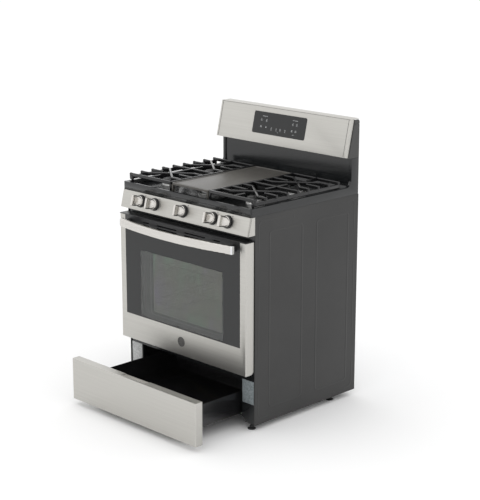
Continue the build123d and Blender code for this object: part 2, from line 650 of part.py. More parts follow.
def out(y0, y1):
    """Depths of the shut drawer, moved to where it stands open at rest."""
    return (y0 - DRAWER_OUT, y1 - DRAWER_OUT)


with BuildPart() as drawer_front:
    block((-378, 378), out(DRAWER_FACE, -11), (26, 204))
    fillet(drawer_front.edges().filter_by(Axis.Z).group_by(Axis.Y)[0], 4)
    block((-376, 376), out(-46, 0), (28, 202), Mode.SUBTRACT)
    block((-75, 75), out(-37, 0), (200, 206), Mode.SUBTRACT)
keep(drawer_front, "drawer_front")

with BuildPart() as drawer_box:
    block((-375.7, 375.7), out(-13, -11), (28.3, 201.7))
    block((-75, 75), out(-14, -10), (160, 206), Mode.SUBTRACT)
    block((-BOX_X, BOX_X), out(-11, 470), (BOX_Z0, BOX_Z1))
    block((-BOX_X + 1.5, BOX_X - 1.5), out(-9.5, 468.5), (BOX_Z0 + 1.5, 160), Mode.SUBTRACT)
    pair((286, 294), out(440, 465), (RAIL_Z + GAP, BOX_Z0))
keep(drawer_box, "drawer_box")

# ---- Oven racks ------------------------------------------------------------

RACK_X, RACK_Y = 594.0, 421.0
RACK_MID_Y = 237.5
WIRE = 6.0  # frame wire; the cross wires are thinner and lie on it
CROSS = 4.0
WIRE_PITCH = 30.0


def rack(level, label):
    """A wire rack resting on the liner's ledges."""
    z = level + 3 + GAP
    with BuildPart() as wires:
        with BuildSketch(Plane.XY.offset(z)):
            with Locations((0, FRONT_Y + RACK_MID_Y)):
                RectangleRounded(RACK_X, RACK_Y, 12)
                RectangleRounded(RACK_X - 2 * WIRE, RACK_Y - 2 * WIRE, 6, mode=Mode.SUBTRACT)
                Rectangle(RACK_X - WIRE, WIRE)
        extrude(amount=WIRE)
        with BuildSketch(Plane.XY.offset(z + WIRE - 1)):
            with Locations((0, FRONT_Y + RACK_MID_Y)):
                with GridLocations(WIRE_PITCH, 1, 19, 1):
                    Rectangle(CROSS, RACK_Y - 1)
        extrude(amount=CROSS)
    keep(wires, label)


rack(RACK_LEVELS[1], "rack_lower")
rack(RACK_LEVELS[4], "rack_upper")

# ---- Levelling legs --------------------------------------------------------

for side, hand in ((-1, "left"), (1, "right")):
    for y, place in zip(LEG_Y, ("front", "rear")):
        with BuildPart() as leg:
            rod((side * LEG_X, y, 0), (side * LEG_X, y, 6), 17)
            rod((side * LEG_X, y, 6), (side * LEG_X, y, 60), 6)
        keep(leg, f"leg_{hand}_{place}")
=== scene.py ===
"""Looks of a freestanding gas range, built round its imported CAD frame.

Metres throughout, in the CAD's own frame: X runs across the range, -Y is its front and +Z is
up. A depth counts back from the front edge of the cabinet's sides.
"""

import math

import bmesh
import bpy
import numpy as np
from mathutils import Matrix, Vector


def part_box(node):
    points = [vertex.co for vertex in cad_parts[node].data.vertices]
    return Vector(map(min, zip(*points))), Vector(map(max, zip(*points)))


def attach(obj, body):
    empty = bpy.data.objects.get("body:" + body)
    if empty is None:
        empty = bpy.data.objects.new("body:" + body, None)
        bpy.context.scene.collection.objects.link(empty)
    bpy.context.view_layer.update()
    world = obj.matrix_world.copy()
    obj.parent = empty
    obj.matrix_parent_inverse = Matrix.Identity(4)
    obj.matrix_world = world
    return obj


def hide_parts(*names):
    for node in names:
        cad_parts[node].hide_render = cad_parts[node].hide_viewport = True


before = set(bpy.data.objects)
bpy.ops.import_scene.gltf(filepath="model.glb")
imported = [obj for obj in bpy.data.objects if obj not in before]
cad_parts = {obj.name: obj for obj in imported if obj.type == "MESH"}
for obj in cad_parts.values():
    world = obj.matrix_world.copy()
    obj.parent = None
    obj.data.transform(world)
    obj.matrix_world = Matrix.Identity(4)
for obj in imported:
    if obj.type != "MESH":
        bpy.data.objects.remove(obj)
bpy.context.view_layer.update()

# ---- Base frame -------------------------------------------------------------
# The base is a tray of folded sheet that the sides, the drawer rails and the legs bolt to.
# It is painted black after folding, and its edges are left as they were cut.


def wire(tree, kind, given, **settings):
    """Adds a node, sets it up and links it; returns its outputs."""
    node = tree.nodes.new(kind)
    for name, value in settings.items():
        setattr(node, name, value)
    for name, value in given.items():
        if isinstance(value, bpy.types.NodeSocket):
            tree.links.new(value, node.inputs[name])
        else:
            node.inputs[name].default_value = value
    return node.outputs


def blend(tree, share, dark, pale):
    """Mixes two colours by the share of the pale one; returns the colour."""
    return wire(tree, "ShaderNodeMix", {0: share, 6: dark, 7: pale}, data_type="RGBA")[2]


def effect(name, inputs, outputs):
    """An empty shader node group; returns it with its input and output sockets."""
    group = bpy.data.node_groups.new(name, "ShaderNodeTree")
    for label, kind in inputs:
        group.interface.new_socket(label, in_out="INPUT", socket_type="NodeSocket" + kind)
    for label, kind in outputs:
        group.interface.new_socket(label, in_out="OUTPUT", socket_type="NodeSocket" + kind)
    given = group.nodes.new("NodeGroupInput").outputs
    result = group.nodes.new("NodeGroupOutput").inputs
    return group, given, result


# Fine grain, stretched by its own amount along each axis, as brushing or orange peel is
grain, given, result = effect(
    "grain", [("Vector", "Vector"), ("Stretch", "Vector"), ("Low", "Float"), ("High", "Float")],
    [("Value", "Float"), ("Height", "Float")]
)
spread = wire(grain, "ShaderNodeVectorMath", {0: given["Vector"], 1: given["Stretch"]}, operation="MULTIPLY")
noise = wire(grain, "ShaderNodeTexNoise", {"Vector": spread[0], "Scale": 1.0, "Detail": 3.0})
ranged = wire(grain, "ShaderNodeMapRange", {
    "Value": noise[0], "From Min": 0.3, "From Max": 0.7, "To Min": given["Low"], "To Max": given["High"]
})
grain.links.new(ranged[0], result["Value"])
grain.links.new(noise[0], result["Height"])

# Two near colours that drift into each other in patches
tone, given, result = effect(
    "tone", [("Vector", "Vector"), ("Patches", "Vector"), ("Pale", "Color"), ("Dark", "Color")],
    [("Color", "Color")]
)
spread = wire(tone, "ShaderNodeVectorMath", {0: given["Vector"], 1: given["Patches"]}, operation="MULTIPLY")
noise = wire(tone, "ShaderNodeTexNoise", {"Vector": spread[0], "Scale": 1.0, "Detail": 5.0, "Roughness": 0.6})
share = wire(tone, "ShaderNodeMapRange", {"Value": noise[0], "From Min": 0.3, "From Max": 0.7})
tone.links.new(blend(tone, share[0], given["Dark"], given["Pale"]), result["Color"])


def bare(name, **values):
    """A new material with plain values on its Principled shader; returns it, its tree and shader."""
    material = bpy.data.materials.new(name)
    material.use_nodes = True
    shader = material.node_tree.nodes["Principled BSDF"]
    for label, value in values.items():
        shader.inputs[label.replace("_", " ")].default_value = value
    return material, material.node_tree, shader


def even(repeats):
    """Repeats a metre along X, Y and Z, given as three numbers or as one for all three."""
    return repeats if isinstance(repeats, tuple) else (repeats,) * 3


def drifting(tree, place, pale, dark, patches):
    """A colour that drifts between two."""
    values = {"Vector": place, "Patches": even(patches), "Pale": (*pale, 1), "Dark": (*dark, 1)}
    return wire(tree, "ShaderNodeGroup", values, node_tree=tone)["Color"]


def finish(name, pale, dark, patches, stretch, rough, bump, **values):
    """A surface of two drifting colours and a fine grain that sets its gloss and relief.
    patches and stretch are repeats a metre; bump is the relief in metres."""
    material, tree, shader = bare(name, **values)
    place = wire(tree, "ShaderNodeTexCoord", {})["Object"]
    colour = drifting(tree, place, pale, dark, patches)
    fine = wire(
        tree, "ShaderNodeGroup",
        {"Vector": place, "Stretch": even(stretch), "Low": rough[0], "High": rough[1]}, node_tree=grain
    )
    relief = wire(tree, "ShaderNodeBump", {"Height": fine["Height"], "Strength": 1.0, "Distance": bump})
    tree.links.new(colour, shader.inputs["Base Color"])
    tree.links.new(fine["Value"], shader.inputs["Roughness"])
    tree.links.new(relief["Normal"], shader.inputs["Normal"])
    return material


def dress(material, *nodes):
    """Gives CAD nodes their finish."""
    for node in nodes:
        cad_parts[node].data.materials.clear()
        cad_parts[node].data.materials.append(material)


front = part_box("side_panel_left")[0].y


def at(x, depth, z):
    """A point by its depth behind the front edge of the cabinet's sides."""
    return Vector((x, front + depth, z))


def added(name, data):
    """Adds an object to the scene."""
    made = bpy.data.objects.new(name, data)
    bpy.context.scene.collection.objects.link(made)
    return made


def settle(name, shape, material, body, slot, *nodes, crease=35):
    """Makes a bmesh or mesh a finished piece that rides on its body and stands for its nodes."""
    mesh = shape
    if isinstance(shape, bmesh.types.BMesh):
        mesh = bpy.data.meshes.new(name)
        shape.to_mesh(mesh)
        shape.free()
    mesh.name = name
    mesh.materials.clear()
    mesh.materials.append(material)
    mesh.shade_smooth()
    mesh.set_sharp_from_angle(angle=math.radians(crease))
    piece = added(name, mesh)
    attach(piece, body)
    if nodes:
        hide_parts(*nodes)
    return piece


def rounded(node, radius, where=lambda middle: True, segments=3):
    """A merged copy of a CAD node, with those sharp edges rounded whose middle passes where."""
    bm = bmesh.new()
    bm.from_mesh(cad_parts[node].data)
    bmesh.ops.remove_doubles(bm, verts=bm.verts, dist=0.00001)
    bmesh.ops.dissolve_limit(bm, angle_limit=math.radians(0.6), verts=bm.verts, edges=bm.edges)
    sharp = [
        e for e in bm.edges
        if len(e.link_faces) == 2 and e.calc_face_angle() > math.radians(32)
        and where((e.verts[0].co + e.verts[1].co) / 2)
    ]
    bmesh.ops.bevel(
        bm, geom=sharp, offset=radius, offset_type="OFFSET", segments=segments, profile=0.5, affect="EDGES",
        clamp_overlap=True
    )
    return bm


black_paint = finish(
    "black_paint", (0.011, 0.011, 0.012), (0.006, 0.006, 0.0065), 14, 420, (0.18, 0.28), 0.00002
)
dress(black_paint, "base_frame")

# ---- Drawer glides ----------------------------------------------------------
# Two blocks of natural nylon, clipped to the front of the drawer rails. The drawer runs on
# them, so they stay bare and unpainted.


def refine(name, node, radius, material, body, slot, segments=3, crease=35):
    """Stands a copy of a CAD node with rounded edges in for it."""
    settle(name, rounded(node, radius, segments=segments), material, body, slot, node, crease=crease)


nylon = finish(
    "nylon", (0.72, 0.70, 0.62), (0.58, 0.56, 0.49), 60, 900, (0.42, 0.55), 0.00004, Subsurface_Weight=0.1
)
refine("glide_blocks", "drawer_glides", 0.0009, nylon, "cabinet", "glide_plastic")

# ---- Levelling legs ---------------------------------------------------------
# Each leg is a steel stud with a rolled thread, a hexagon to turn it by and a pressed disc foot.
# They screw into the base, so their height above the floor can be set.

LEG_STUD = 0.006
LEG_DISC = 0.017
THREAD_PITCH = 0.0015


def loft(bm, rings):
    """Skins a row of rings, each a list of points in the same turn. A single point closes an end,
    and a last ring that repeats the first one joins up with it."""
    joined = rings[0] == rings[-1]
    made = [[bm.verts.new(p) for p in ring] for ring in (rings[:-1] if joined else rings)]
    if joined:
        made.append(made[0])
    for low, high in zip(made, made[1:]):
        count = max(len(low), len(high))
        for i in range(count):
            j = (i + 1) % count
            around = [low[i % len(low)], low[j % len(low)], high[j % len(high)], high[i % len(high)]]
            corners = list(dict.fromkeys(around))
            if len(corners) > 2:
                bm.faces.new(corners)
    for ring, turn in ((made[0], -1), (made[-1], 1)):
        if len(ring) > 2 and not joined:
            bm.faces.new(ring[::turn])


def lathe(bm, profile, foot, axis=(0, 0, 1), steps=32):
    """Turns a profile of (radius, height) round an axis from its foot."""
    turn = Vector((0, 0, 1)).rotation_difference(Vector(axis)).to_matrix()
    rings = []
    for radius, height in profile:
        if radius == 0:
            rings.append([foot + turn @ Vector((0, 0, height))])
            continue
        angles = [2 * math.pi * i / steps for i in range(steps)]
        rings.append([
            foot + turn @ Vector((radius * math.cos(a), radius * math.sin(a), height)) for a in angles
        ])
    loft(bm, rings)


bright_steel = finish(
    "bright_steel", (0.56, 0.56, 0.56), (0.42, 0.42, 0.43), 30, 700, (0.22, 0.36), 0.00002, Metallic=1.0
)
black_zinc = finish(
    "black_zinc", (0.035, 0.035, 0.036), (0.016, 0.016, 0.017), 120, 900, (0.35, 0.5), 0.00004, Metallic=0.3
)
for hand in ("left", "right"):
    for place in ("front", "rear"):
        node = f"leg_{hand}_{place}"
        low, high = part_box(node)
        foot = Vector(((low.x + high.x) / 2, (low.y + high.y) / 2, 0))
        bm = bmesh.new()
        lathe(
            bm,
            [
                (0, 0), (LEG_DISC - 0.002, 0), (LEG_DISC, 0.0014), (LEG_DISC, 0.0032),
                (LEG_DISC - 0.0012, 0.0044), (0.0105, 0.006), (0.0082, 0.0078), (0, 0.0078)
            ],
            foot
        )
        lathe(
            bm,
            [
                (0, 0.0076), (0.0088, 0.0076), (0.0094, 0.0084), (0.0094, 0.0144), (0.0088, 0.0152),
                (0, 0.0152)
            ],
            foot, steps=6
        )
        turns = int((high.z - 0.016) / THREAD_PITCH)
        thread = [(0, 0.015), (LEG_STUD, 0.015)]
        for i in range(turns):
            height = 0.0155 + THREAD_PITCH * i
            thread += [(LEG_STUD, height), (LEG_STUD - 0.0007, height + THREAD_PITCH / 2)]
        thread += [(LEG_STUD - 0.001, high.z), (0, high.z)]
        lathe(bm, thread, foot, steps=20)
        settle(node + "_stud", bm, black_zinc, node, "pipe_steel", node, crease=50)

# ---- Side panels ------------------------------------------------------------
# Each side is one pressed sheet, stiffened by raised beads: two tall loops, and short beads
# round the edge. It is sprayed dark grey, which leaves a very slight orange peel.

BEAD_RISE = 0.0008
BEAD_HALF = 0.0052
LOOPS = (((0.0825, 0.270), (0.086, 0.814)), ((0.356, 0.5475), (0.086, 0.814)))
LOOP_CORNER = 0.014
EDGE_BEADS = (
    [(0.021, 0.307), (0.021, 0.604)], [(0.021, 0.735), (0.021, 0.849), (0.034, 0.862), (0.150, 0.862)],
    [(0.540, 0.862), (0.572, 0.862), (0.585, 0.849), (0.585, 0.735)], [(0.585, 0.600), (0.585, 0.300)],
    [(0.585, 0.167), (0.585, 0.063), (0.572, 0.050), (0.540, 0.050)],
    [(0.070, 0.050), (0.035, 0.050), (0.022, 0.063), (0.022, 0.170)]
)
HALF_MOONS = ((0.217, 0.851), (0.484, 0.851), (0.210, 0.049), (0.472, 0.049))


def hump(distance, half):
    """A smooth rise that falls to nothing at half its width."""
    return np.clip(1 - (distance / half) ** 2, 0, 1) ** 2


def bead_height(y, z):
    """How far the pressed side stands proud at each depth and height, from 0 to 1."""
    rise = np.zeros(np.broadcast(y, z).shape)
    for (y0, y1), (z0, z1) in LOOPS:
        dy = np.abs(y - (y0 + y1) / 2) - (y1 - y0) / 2 + LOOP_CORNER
        dz = np.abs(z - (z0 + z1) / 2) - (z1 - z0) / 2 + LOOP_CORNER
        outside = np.hypot(np.maximum(dy, 0), np.maximum(dz, 0))
        inside = np.minimum(np.maximum(dy, dz), 0)
        rise = np.maximum(rise, hump(np.abs(outside + inside - LOOP_CORNER), BEAD_HALF))
    for path in EDGE_BEADS:
        for (ya, za), (yb, zb) in zip(path, path[1:]):
            run_y, run_z = yb - ya, zb - za
            t = ((y - ya) * run_y + (z - za) * run_z) / (run_y**2 + run_z**2)
            t = np.clip(t, 0, 1)
            rise = np.maximum(rise, 0.8 * hump(np.hypot(y - ya - t * run_y, z - za - t * run_z), 0.0042))
    for ym, zm in HALF_MOONS:
        moon = hump(np.hypot(y - ym, z - zm), 0.008) * np.clip((y - ym) / 0.002 + 0.5, 0, 1)
        rise = np.maximum(rise, 0.7 * moon)
    return rise


def grid_lines(start, end, beads):
    """Grid lines from edge to edge, close together near each bead and wide apart elsewhere."""
    lines = [start]
    while lines[-1] < end - 0.001:
        gap = min(abs(lines[-1] - b) for b in beads)
        lines.append(lines[-1] + min(0.018, max(0.0013, 0.4 * (gap - 0.006))))
    lines[-1] = end
    return np.array(lines)


def widened(value, ends, wider):
    """A coordinate moved outward if it lies on either end of the sheet's face."""
    on_end = min(abs(value - end) for end in ends) < 1e-6
    return value + math.copysign(wider, value - sum(ends) / 2) * on_end


side_paint = finish(
    "side_paint", (0.029, 0.029, 0.0285), (0.020, 0.020, 0.0198), 3, 330, (0.32, 0.42), 0.00002,
    Specular_IOR_Level=0.42
)
SHEET_LIP = 0.0019
SHEET_EDGE = 0.0009
BACK_DEPTH = 0.607
FOLD_END = 0.350
DEPTH_BEADS = (0.0215, 0.0825, 0.270, 0.356, 0.5475, 0.585, 0.217, 0.479)
HEIGHT_BEADS = (0.050, 0.086, 0.814, 0.862, 0.851)
for hand in ("left", "right"):
    node = f"side_panel_{hand}"
    low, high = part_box(node)
    outward = 1 if hand == "right" else -1
    face_x = (high.x if outward > 0 else -low.x) - BEAD_RISE
    depths = grid_lines(SHEET_EDGE, high.y - front - SHEET_EDGE, DEPTH_BEADS)
    heights = grid_lines(low.z + SHEET_EDGE, high.z - SHEET_EDGE, HEIGHT_BEADS)
    rise = bead_height(depths[:, None], heights[None, :]) * BEAD_RISE
    bm = bmesh.new()
    skin = [
        [bm.verts.new(at(outward * (face_x + rise[i, j]), y, z)) for j, z in enumerate(heights)]
        for i, y in enumerate(depths)
    ]
    for row, after in zip(skin, skin[1:]):
        for j in range(len(heights) - 1):
            quad = [row[j], after[j], after[j + 1], row[j + 1]]
            bm.faces.new(quad[::outward])
    border = [row[0] for row in skin] + skin[-1][1:] + [row[-1] for row in skin[-2::-1]] + skin[0][-2:0:-1]
    y_ends = (front + SHEET_EDGE, high.y - SHEET_EDGE)
    z_ends = (low.z + SHEET_EDGE, high.z - SHEET_EDGE)
    ring = border
    for step_in, wider in ((0.0003, 0.0007), (SHEET_LIP * 0.5, SHEET_EDGE), (SHEET_LIP, SHEET_EDGE)):
        after = []
        for v in border:
            y, z = widened(v.co.y, y_ends, wider), widened(v.co.z, z_ends, wider)
            after.append(bm.verts.new((outward * (face_x - step_in), y, z)))
        for i in range(len(ring)):
            j = (i + 1) % len(ring)
            bm.faces.new([ring[i], ring[j], after[j], after[i]][::-outward])
        ring = after
    bm.faces.new(ring[::-outward])
    folds = (
        (FOLD_END, 0.605), (face_x - SHEET_LIP, 0.605), (face_x - SHEET_LIP, BACK_DEPTH),
        (FOLD_END, BACK_DEPTH)
    )
    flange = [at(outward * x, y, 0) for x, y in folds]
    loft(bm, [[p + Vector((0, 0, z)) for p in flange[::outward]] for z in (0.062, 0.880)])
    settle(f"pressed_side_{hand}", bm, side_paint, "cabinet", "side_paint", node, crease=40)

# ---- Rear cover -------------------------------------------------------------
# The back is closed by two sheets of zinc-coated steel with pressed louvres, screwed on.
# The coating shows the soft spangle of the zinc.

LOUVRE_RISE = 0.0015


def tree_for(name, sockets):
    """A Geometry Nodes tree with named inputs; returns it, its input sockets and its output node."""
    tree = bpy.data.node_groups.new(name, "GeometryNodeTree")
    tree.interface.new_socket("Geometry", in_out="INPUT", socket_type="NodeSocketGeometry")
    for label, kind in sockets:
        tree.interface.new_socket(label, in_out="INPUT", socket_type="NodeSocket" + kind)
    tree.interface.new_socket("Geometry", in_out="OUTPUT", socket_type="NodeSocketGeometry")
    return tree, tree.nodes.new("NodeGroupInput").outputs, tree.nodes.new("NodeGroupOutput").inputs


def grow(tree, base, values):
    """Runs a Geometry Nodes tree on a base mesh and returns the plain mesh that it makes."""
    stem = added("stem", base)
    modifier = stem.modifiers.new("grow", "NODES")
    modifier.node_group = tree
    for socket in tree.interface.items_tree:
        if socket.in_out == "INPUT" and socket.name in values:
            modifier[socket.identifier] = values[socket.name]
    settled = bpy.context.evaluated_depsgraph_get()
    mesh = bpy.data.meshes.new_from_object(stem.evaluated_get(settled))
    bpy.data.objects.remove(stem)
    return mesh


# Sets one shape at every point, turned so that its own Z looks along Facing
repeat, given, result = tree_for("repeat", [
    ("Shape", "Object"), ("Facing", "Vector"), ("Finish", "Material")
])
shape = wire(repeat, "GeometryNodeObjectInfo", {"Object": given["Shape"]})
turned = wire(repeat, "FunctionNodeAlignRotationToVector", {"Vector": given["Facing"]}, axis="Z")
placed = wire(repeat, "GeometryNodeInstanceOnPoints", {
    "Points": given["Geometry"], "Instance": shape["Geometry"], "Rotation": turned["Rotation"]
})
real = wire(repeat, "GeometryNodeRealizeInstances", {"Geometry": placed[0]})
named = wire(repeat, "GeometryNodeSetMaterial", {"Geometry": real[0], "Material": given["Finish"]})
repeat.links.new(named[0], result[0])


def repeated(shape, spots, facing, material):
    """A mesh with a copy of a bmesh shape at every spot, its own Z looking along facing."""
    mesh = bpy.data.meshes.new("shape")
    shape.to_mesh(mesh)
    shape.free()
    pattern = added("shape", mesh)
    base = bpy.data.meshes.new("spots")
    base.from_pydata([tuple(p) for p in spots], [], [])
    made = grow(repeat, base, {"Shape": pattern, "Facing": tuple(facing), "Finish": material})
    bpy.data.objects.remove(pattern)
    return made


def add_mesh(bm, mesh):
    """Adds a mesh to a bmesh."""
    bm.from_mesh(mesh)
    bpy.data.meshes.remove(mesh)


def faced(bm):
    """Turns the faces of a built shape outward."""
    bmesh.ops.recalc_face_normals(bm, faces=bm.faces)
    return bm


def louvre(length):
    """A pressed louvre: a quarter-round hood, open below, along X and proud along Z."""
    bm = bmesh.new()
    rows = []
    for x, share in (
        (-length / 2, 0.0), (-length / 2 + 0.004, 1.0), (length / 2 - 0.004, 1.0), (length / 2, 0.0)
    ):
        arc = [math.radians(a) for a in range(0, 91, 15)]
        rows.append([(x, 0.007 - 0.007 * math.sin(a), share * LOUVRE_RISE * (1 - math.cos(a))) for a in arc])
    made = [[bm.verts.new(p) for p in row] for row in rows]
    for row, after in zip(made, made[1:]):
        for i in range(len(row) - 1):
            bm.faces.new([row[i], row[i + 1], after[i + 1], after[i]])
    bmesh.ops.solidify(bm, geom=bm.faces, thickness=0.0005)
    return faced(bm)


def screw_head(radius):
    """A hexagon head on a washer face, with a cross recess."""
    bm = bmesh.new()
    lathe(
        bm,
        [
            (0, 0), (radius * 1.25, 0), (radius * 1.25, radius * 0.16), (radius, radius * 0.24),
            (0, radius * 0.24)
        ],
        Vector((0, 0, 0)), steps=20
    )
    lathe(
        bm,
        [
            (0, radius * 0.2), (radius * 0.86, radius * 0.2), (radius * 0.86, radius * 0.44),
            (radius * 0.74, radius * 0.5), (radius * 0.3, radius * 0.5), (0, radius * 0.3)
        ],
        Vector((0, 0, 0)), steps=6
    )
    return bm


zinc = finish("zinc", (0.50, 0.51, 0.52), (0.34, 0.35, 0.36), 38, 500, (0.30, 0.5), 0.00002, Metallic=0.85)
bm = rounded("rear_cover", 0.0004, segments=2)
back_y = front + BACK_DEPTH
small = [(side * 0.130, back_y, 0.703 + 0.022 * row) for side in (-1, 1) for row in range(6)]
wide = [(side * 0.180, back_y + 0.001, 1.083 + 0.030 * row) for side in (-1, 1) for row in range(3)]
add_mesh(bm, repeated(louvre(0.144), small, (0, 1, 0), zinc))
add_mesh(bm, repeated(louvre(0.244), wide, (0, 1, 0), zinc))
settle("louvred_back", bm, zinc, "cabinet", "zinc", "rear_cover")

spots = [at(side * 0.342, BACK_DEPTH, 0.090 + 0.190 * i) for side in (-1, 1) for i in range(5)]
spots += [at(side * 0.366, 0.608, z) for side in (-1, 1) for z in (0.910, 1.060, 1.180)]
settle(
    "back_screws", repeated(screw_head(0.0038), spots, (0, 1, 0), bright_steel), bright_steel, "cabinet",
    "pipe_steel", "cabinet_screws"
)

# ---- Cord gland -------------------------------------------------------------
# A moulded bush that lines the hole where the supply lead would leave the back. It is plain
# black plastic, pressed in from behind.

black_plastic = finish(
    "black_plastic", (0.024, 0.024, 0.025), (0.016, 0.016, 0.017), 90, 1400, (0.34, 0.46), 0.00004
)
refine("gland_bush", "strain_relief", 0.0006, black_plastic, "cabinet", "black_plastic", segments=2)

# ---- Front frame and labels -------------------------------------------------
# The front frame is one pressing, enamelled gloss black. Two blank film labels are stuck low
# down on it, white on the left and grey on the right, with small creases smoothed on by hand.

black_enamel = finish(
    "black_enamel", (0.0130, 0.0142, 0.0152), (0.0085, 0.0092, 0.0098), 9, 260, (0.15, 0.21), 0.000004,
    IOR=1.55
)
refine("frame_pressing", "front_frame", 0.0007, black_enamel, "cabinet", "black_frame", segments=2)

label_film, tree, shader = bare("label_film", Coat_Weight=0.4, Coat_Roughness=0.1)
place = wire(tree, "ShaderNodeTexCoord", {})["Object"]
mottle = wire(tree, "ShaderNodeTexNoise", {"Vector": place, "Scale": 160.0, "Detail": 5.0, "Roughness": 0.7})
shades = wire(tree, "ShaderNodeMapRange", {"Value": mottle[0], "From Min": 0.4, "From Max": 0.62})
matt = wire(tree, "ShaderNodeMapRange", {"Value": mottle[0], "To Min": 0.3, "To Max": 0.6})
grey = blend(tree, shades[0], (0.15, 0.175, 0.185, 1), (0.27, 0.30, 0.31, 1))
white = blend(tree, shades[0], (0.34, 0.35, 0.35, 1), (0.58, 0.585, 0.58, 1))
across = wire(tree, "ShaderNodeSeparateXYZ", {0: place})
on_right = wire(tree, "ShaderNodeMath", {0: across["X"], 1: 0.0}, operation="GREATER_THAN")
creases = wire(tree, "ShaderNodeTexVoronoi", {"Vector": place, "Scale": 70.0}, feature="DISTANCE_TO_EDGE")
bent = wire(tree, "ShaderNodeBump", {"Height": creases["Distance"], "Strength": 0.5, "Distance": 0.001})
tree.links.new(blend(tree, on_right[0], white, grey), shader.inputs["Base Color"])
tree.links.new(matt[0], shader.inputs["Roughness"])
tree.links.new(bent["Normal"], shader.inputs["Normal"])
refine("blank_labels", "label_plates", 0.0003, label_film, "cabinet", "label_film", segments=2)

# ---- Hinge receivers --------------------------------------------------------
# Zinc-plated channels behind the frame, with the arms that carry the door's pins. The duct
# that leads the oven's fumes to the back is plated the same way.

dress(zinc, "hinge_receivers", "flue_duct")

# ---- Oven liner, floor and gasket -------------------------------------------
# The oven is a box of sheet with pressed rack ledges, fired with dark enamel that is full of
# fine pale speckles. Glass wool wraps it, and a braided rope of glass yarn seals its mouth.

oven_enamel, tree, shader = bare("oven_enamel", Roughness=0.16, IOR=1.55)
place = wire(tree, "ShaderNodeTexCoord", {})["Object"]
base = drifting(tree, place, (0.030, 0.033, 0.042), (0.016, 0.018, 0.024), 7)
dots = wire(tree, "ShaderNodeTexVoronoi", {"Vector": place, "Scale": 330.0, "Randomness": 1.0})
speck = wire(tree, "ShaderNodeMapRange", {"Value": dots["Distance"], "From Min": 0.26, "From Max": 0.18})
tree.links.new(blend(tree, speck[0], base, (0.42, 0.44, 0.47, 1)), shader.inputs["Base Color"])
refine("oven_box", "oven_liner", 0.0007, oven_enamel, "cabinet", "oven_enamel", segments=2)
refine("oven_bottom", "oven_floor", 0.0007, oven_enamel, "cabinet", "black_enamel", segments=2)

glass_wool = finish(
    "glass_wool", (0.62, 0.52, 0.24), (0.40, 0.33, 0.15), (45, 45, 160), (500, 500, 900), (0.8, 0.95),
    0.0006
)
dress(glass_wool, "oven_insulation")

# The rope's own map runs once along it and once round it, so that the braid follows the rope
rope_yarn, tree, shader = bare("rope_yarn", Roughness=0.9)
lay = wire(tree, "ShaderNodeUVMap", {}, uv_map="UVMap")["UV"]
strands = []
for slant in (40.0, -40.0):
    skew = wire(tree, "ShaderNodeMapping", {"Vector": lay, "Scale": (260.0, slant / 10, 1.0)})
    strands.append(wire(
        tree, "ShaderNodeTexWave", {"Vector": skew[0], "Scale": 1.0, "Distortion": 0.4},
        bands_direction="DIAGONAL"
    )[0])
woven = wire(tree, "ShaderNodeMath", {0: strands[0], 1: strands[1]}, operation="MULTIPLY")
yarns = blend(tree, woven[0], (0.035, 0.035, 0.036, 1), (0.16, 0.16, 0.16, 1))
raised = wire(tree, "ShaderNodeBump", {"Height": woven[0], "Strength": 0.8, "Distance": 0.001})
tree.links.new(yarns, shader.inputs["Base Color"])
tree.links.new(raised["Normal"], shader.inputs["Normal"])


def round_corner(half_x, half_z, radius, steps=8):
    """Points round a rectangle with round corners, as (x, z) about its own centre."""
    points = []
    for cx, cz, start in ((1, 1, 0), (-1, 1, 90), (-1, -1, 180), (1, -1, 270)):
        for i in range(steps + 1):
            a = math.radians(start + 90 * i / steps)
            points.append((
                cx * (half_x - radius) + radius * math.cos(a), cz * (half_z - radius) + radius * math.sin(a)
            ))
    return points


low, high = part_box("door_gasket")
middle = (low + high) / 2
route = round_corner(0.3175, (high.z - low.z) / 2 - 0.0055, 0.0165)
bm = bmesh.new()
uv = bm.loops.layers.uv.new("UVMap")
ROUND = 12
rings = []
for k, (x, z) in enumerate(route):
    ahead, behind = route[(k + 1) % len(route)], route[k - 1]
    along = Vector((ahead[0] - behind[0], 0, ahead[1] - behind[1])).normalized()
    out_way = Vector((along.z, 0, -along.x))
    centre = Vector((x, middle.y, middle.z + z))
    rings.append([
        bm.verts.new(
            centre + out_way * 0.0054 * math.cos(2 * math.pi * i / ROUND) + Vector((
                0, (high.y - low.y) / 2 * math.sin(2 * math.pi * i / ROUND), 0
            ))
        )
        for i in range(ROUND)
    ])
travel = [0.0]
for k in range(len(route)):
    a, b = route[k], route[(k + 1) % len(route)]
    travel.append(travel[-1] + math.dist(a, b))
for k, ring in enumerate(rings):
    after = rings[(k + 1) % len(rings)]
    for i in range(ROUND):
        j = (i + 1) % ROUND
        face = bm.faces.new([ring[i], ring[j], after[j], after[i]])
        for loop, (u, v) in zip(face.loops, ((k, i), (k, i + 1), (k + 1, i + 1), (k + 1, i))):
            loop[uv].uv = (travel[u], v / ROUND)
settle("braided_seal", faced(bm), rope_yarn, "cabinet", "gasket", "door_gasket", crease=60)

# ---- Oven burners, lamp and igniters ----------------------------------------
# Steel tube burners heat the oven from below its floor and from its roof. The lamp sits
# behind a ribbed glass cover, and white ceramic carries each igniter.

